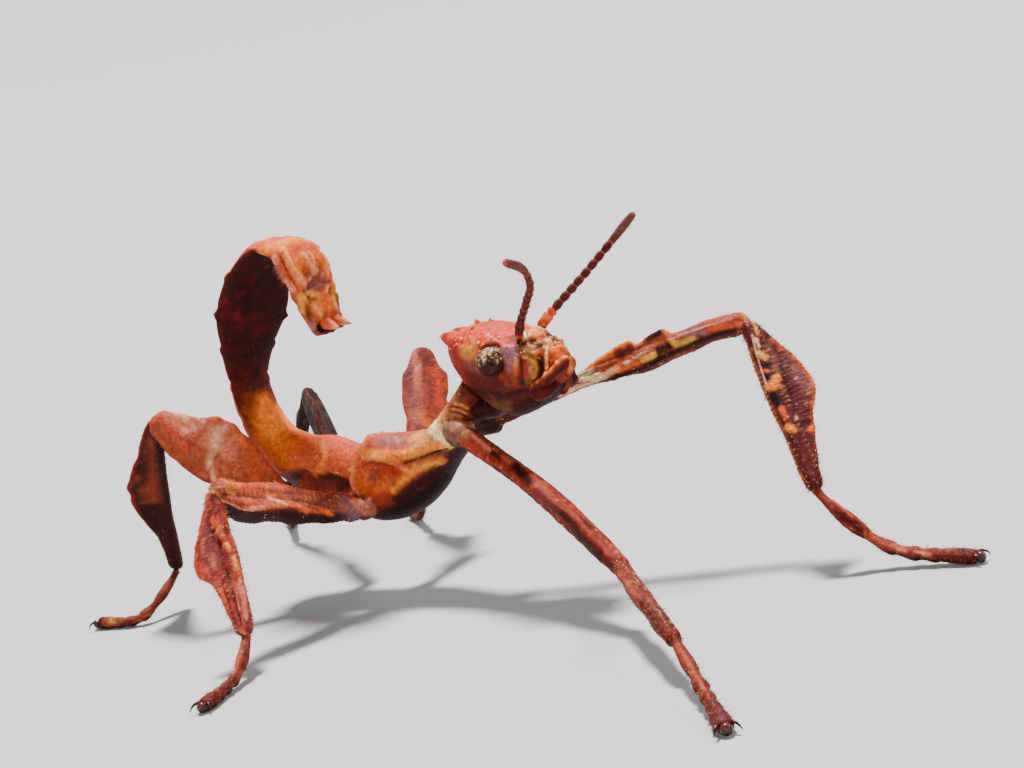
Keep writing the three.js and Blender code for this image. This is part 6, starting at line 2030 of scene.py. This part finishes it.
class INSECT_OT_eyes(bpy.types.Operator):
    """Builds the two eyes"""

    bl_idname = "insect.eyes"
    bl_label = "Eyes"

    def execute(self, context):
        settings()
        material = make_material("eye", 0.00005, 0.5, 0.000006, coat_roughness=0.05)
        for side, name in ((-1, "eye_right"), (1, "eye_left")):
            eye = join_sheets("eyeball_" + name[4:], [eye_sheet(side)])
            eye.data.materials.append(material)
            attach(eye, "root")
            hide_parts(name)
        return {"FINISHED"}


class INSECT_OT_feelers(bpy.types.Operator):
    """Builds the two beaded feelers"""

    bl_idname = "insect.feelers"
    bl_label = "Feelers"

    def execute(self, context):
        sizes = settings()
        material = make_material("feeler", sizes.grain_size, 0.6, sizes.relief * 0.7)
        for side in FEELERS:
            feeler = join_sheets("feeler_" + side, [feeler_sheet(side)])
            feeler.data.materials.append(material)
            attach(feeler, "root")
            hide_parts("antenna_" + side)
        return {"FINISHED"}


class INSECT_OT_mouth(bpy.types.Operator):
    """Builds the lip, jaws and palps"""

    bl_idname = "insect.mouth"
    bl_label = "Mouthparts"

    def execute(self, context):
        sizes = settings()
        mouth = join_sheets("mouth", mouth_sheets())
        mouth.data.materials.append(make_material("mouthpart", sizes.grain_size, 0.6, sizes.relief * 0.5))
        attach(mouth, "root")
        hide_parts("mouthparts")
        return {"FINISHED"}


class INSECT_OT_claws(bpy.types.Operator):
    """Builds the claws and the pad of each foot"""

    bl_idname = "insect.claws"
    bl_label = "Claws"

    def execute(self, context):
        settings()
        material = make_material("claw", 0.00006, 0.3, 0.000004, coat_roughness=0.08)
        for name in LEGS:
            claws = join_sheets("claws_" + name, claw_sheets(name))
            claws.data.materials.append(material)
            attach(claws, "root")
        return {"FINISHED"}


class INSECT_OT_grains(bpy.types.Operator):
    """Builds the warts of the crown and the small grains of the skin"""

    bl_idname = "insect.grains"
    bl_label = "Warts and grains"

    def execute(self, context):
        sizes = settings()
        material = make_material("grain", sizes.grain_size, 0.4, sizes.relief * 0.3)
        warts = join_sheets("warts", wart_sheets())
        warts.data.materials.append(material)
        grains = build_granules(material, sizes.grain_density)
        for piece in (warts, grains):
            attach(piece, "root")
        return {"FINISHED"}


class INSECT_OT_hairs(bpy.types.Operator):
    """Builds the short stiff hairs"""

    bl_idname = "insect.hairs"
    bl_label = "Hairs"

    def execute(self, context):
        sizes = settings()
        material = make_material("hair", 0.0001, 0.0, 0.0)
        hairs = build_hairs(material, sizes.hair_length / MM, sizes.hair_density)
        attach(hairs, "root")
        return {"FINISHED"}


class INSECT_OT_stage(bpy.types.Operator):
    """Builds the floor, lights and camera"""

    bl_idname = "insect.stage"
    bl_label = "Stage"

    def execute(self, context):
        sizes = settings()
        build_stage(sizes.light_power, sizes.floor_tone)
        return {"FINISHED"}


OPERATORS = (INSECT_OT_skin, INSECT_OT_eyes, INSECT_OT_feelers, INSECT_OT_mouth, INSECT_OT_claws,
             INSECT_OT_grains, INSECT_OT_hairs, INSECT_OT_stage)


class INSECT_PT_panel(bpy.types.Panel):
    """Settings of the insect and a button for each group of pieces"""

    bl_label = "Leaf insect nymph"
    bl_idname = "INSECT_PT_panel"
    bl_space_type = "VIEW_3D"
    bl_region_type = "UI"
    bl_category = "Insect"

    def draw(self, context):
        layout = self.layout
        for group in (context.scene.insect_sizes, context.scene.insect_colours):
            for name in group.__annotations__:
                layout.prop(group, name)
        for operator in OPERATORS:
            layout.operator(operator.bl_idname)


CLASSES = (InsectColours, InsectSizes) + OPERATORS + (INSECT_PT_panel,)


def register():
    """Adds the settings, operators and panel."""
    for item in CLASSES:
        bpy.utils.register_class(item)
    bpy.types.Scene.insect_colours = bpy.props.PointerProperty(type=InsectColours)
    bpy.types.Scene.insect_sizes = bpy.props.PointerProperty(type=InsectSizes)


def unregister():
    """Takes the settings, operators and panel away."""
    del bpy.types.Scene.insect_sizes
    del bpy.types.Scene.insect_colours
    for item in reversed(CLASSES):
        bpy.utils.unregister_class(item)


def main():
    """Builds every piece and the stage."""
    register()
    bpy.ops.insect.skin()
    bpy.ops.insect.eyes()
    bpy.ops.insect.feelers()
    bpy.ops.insect.mouth()
    bpy.ops.insect.claws()
    bpy.ops.insect.grains()
    bpy.ops.insect.hairs()
    bpy.ops.insect.stage()
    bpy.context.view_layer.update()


if __name__ == "__main__":
    main()
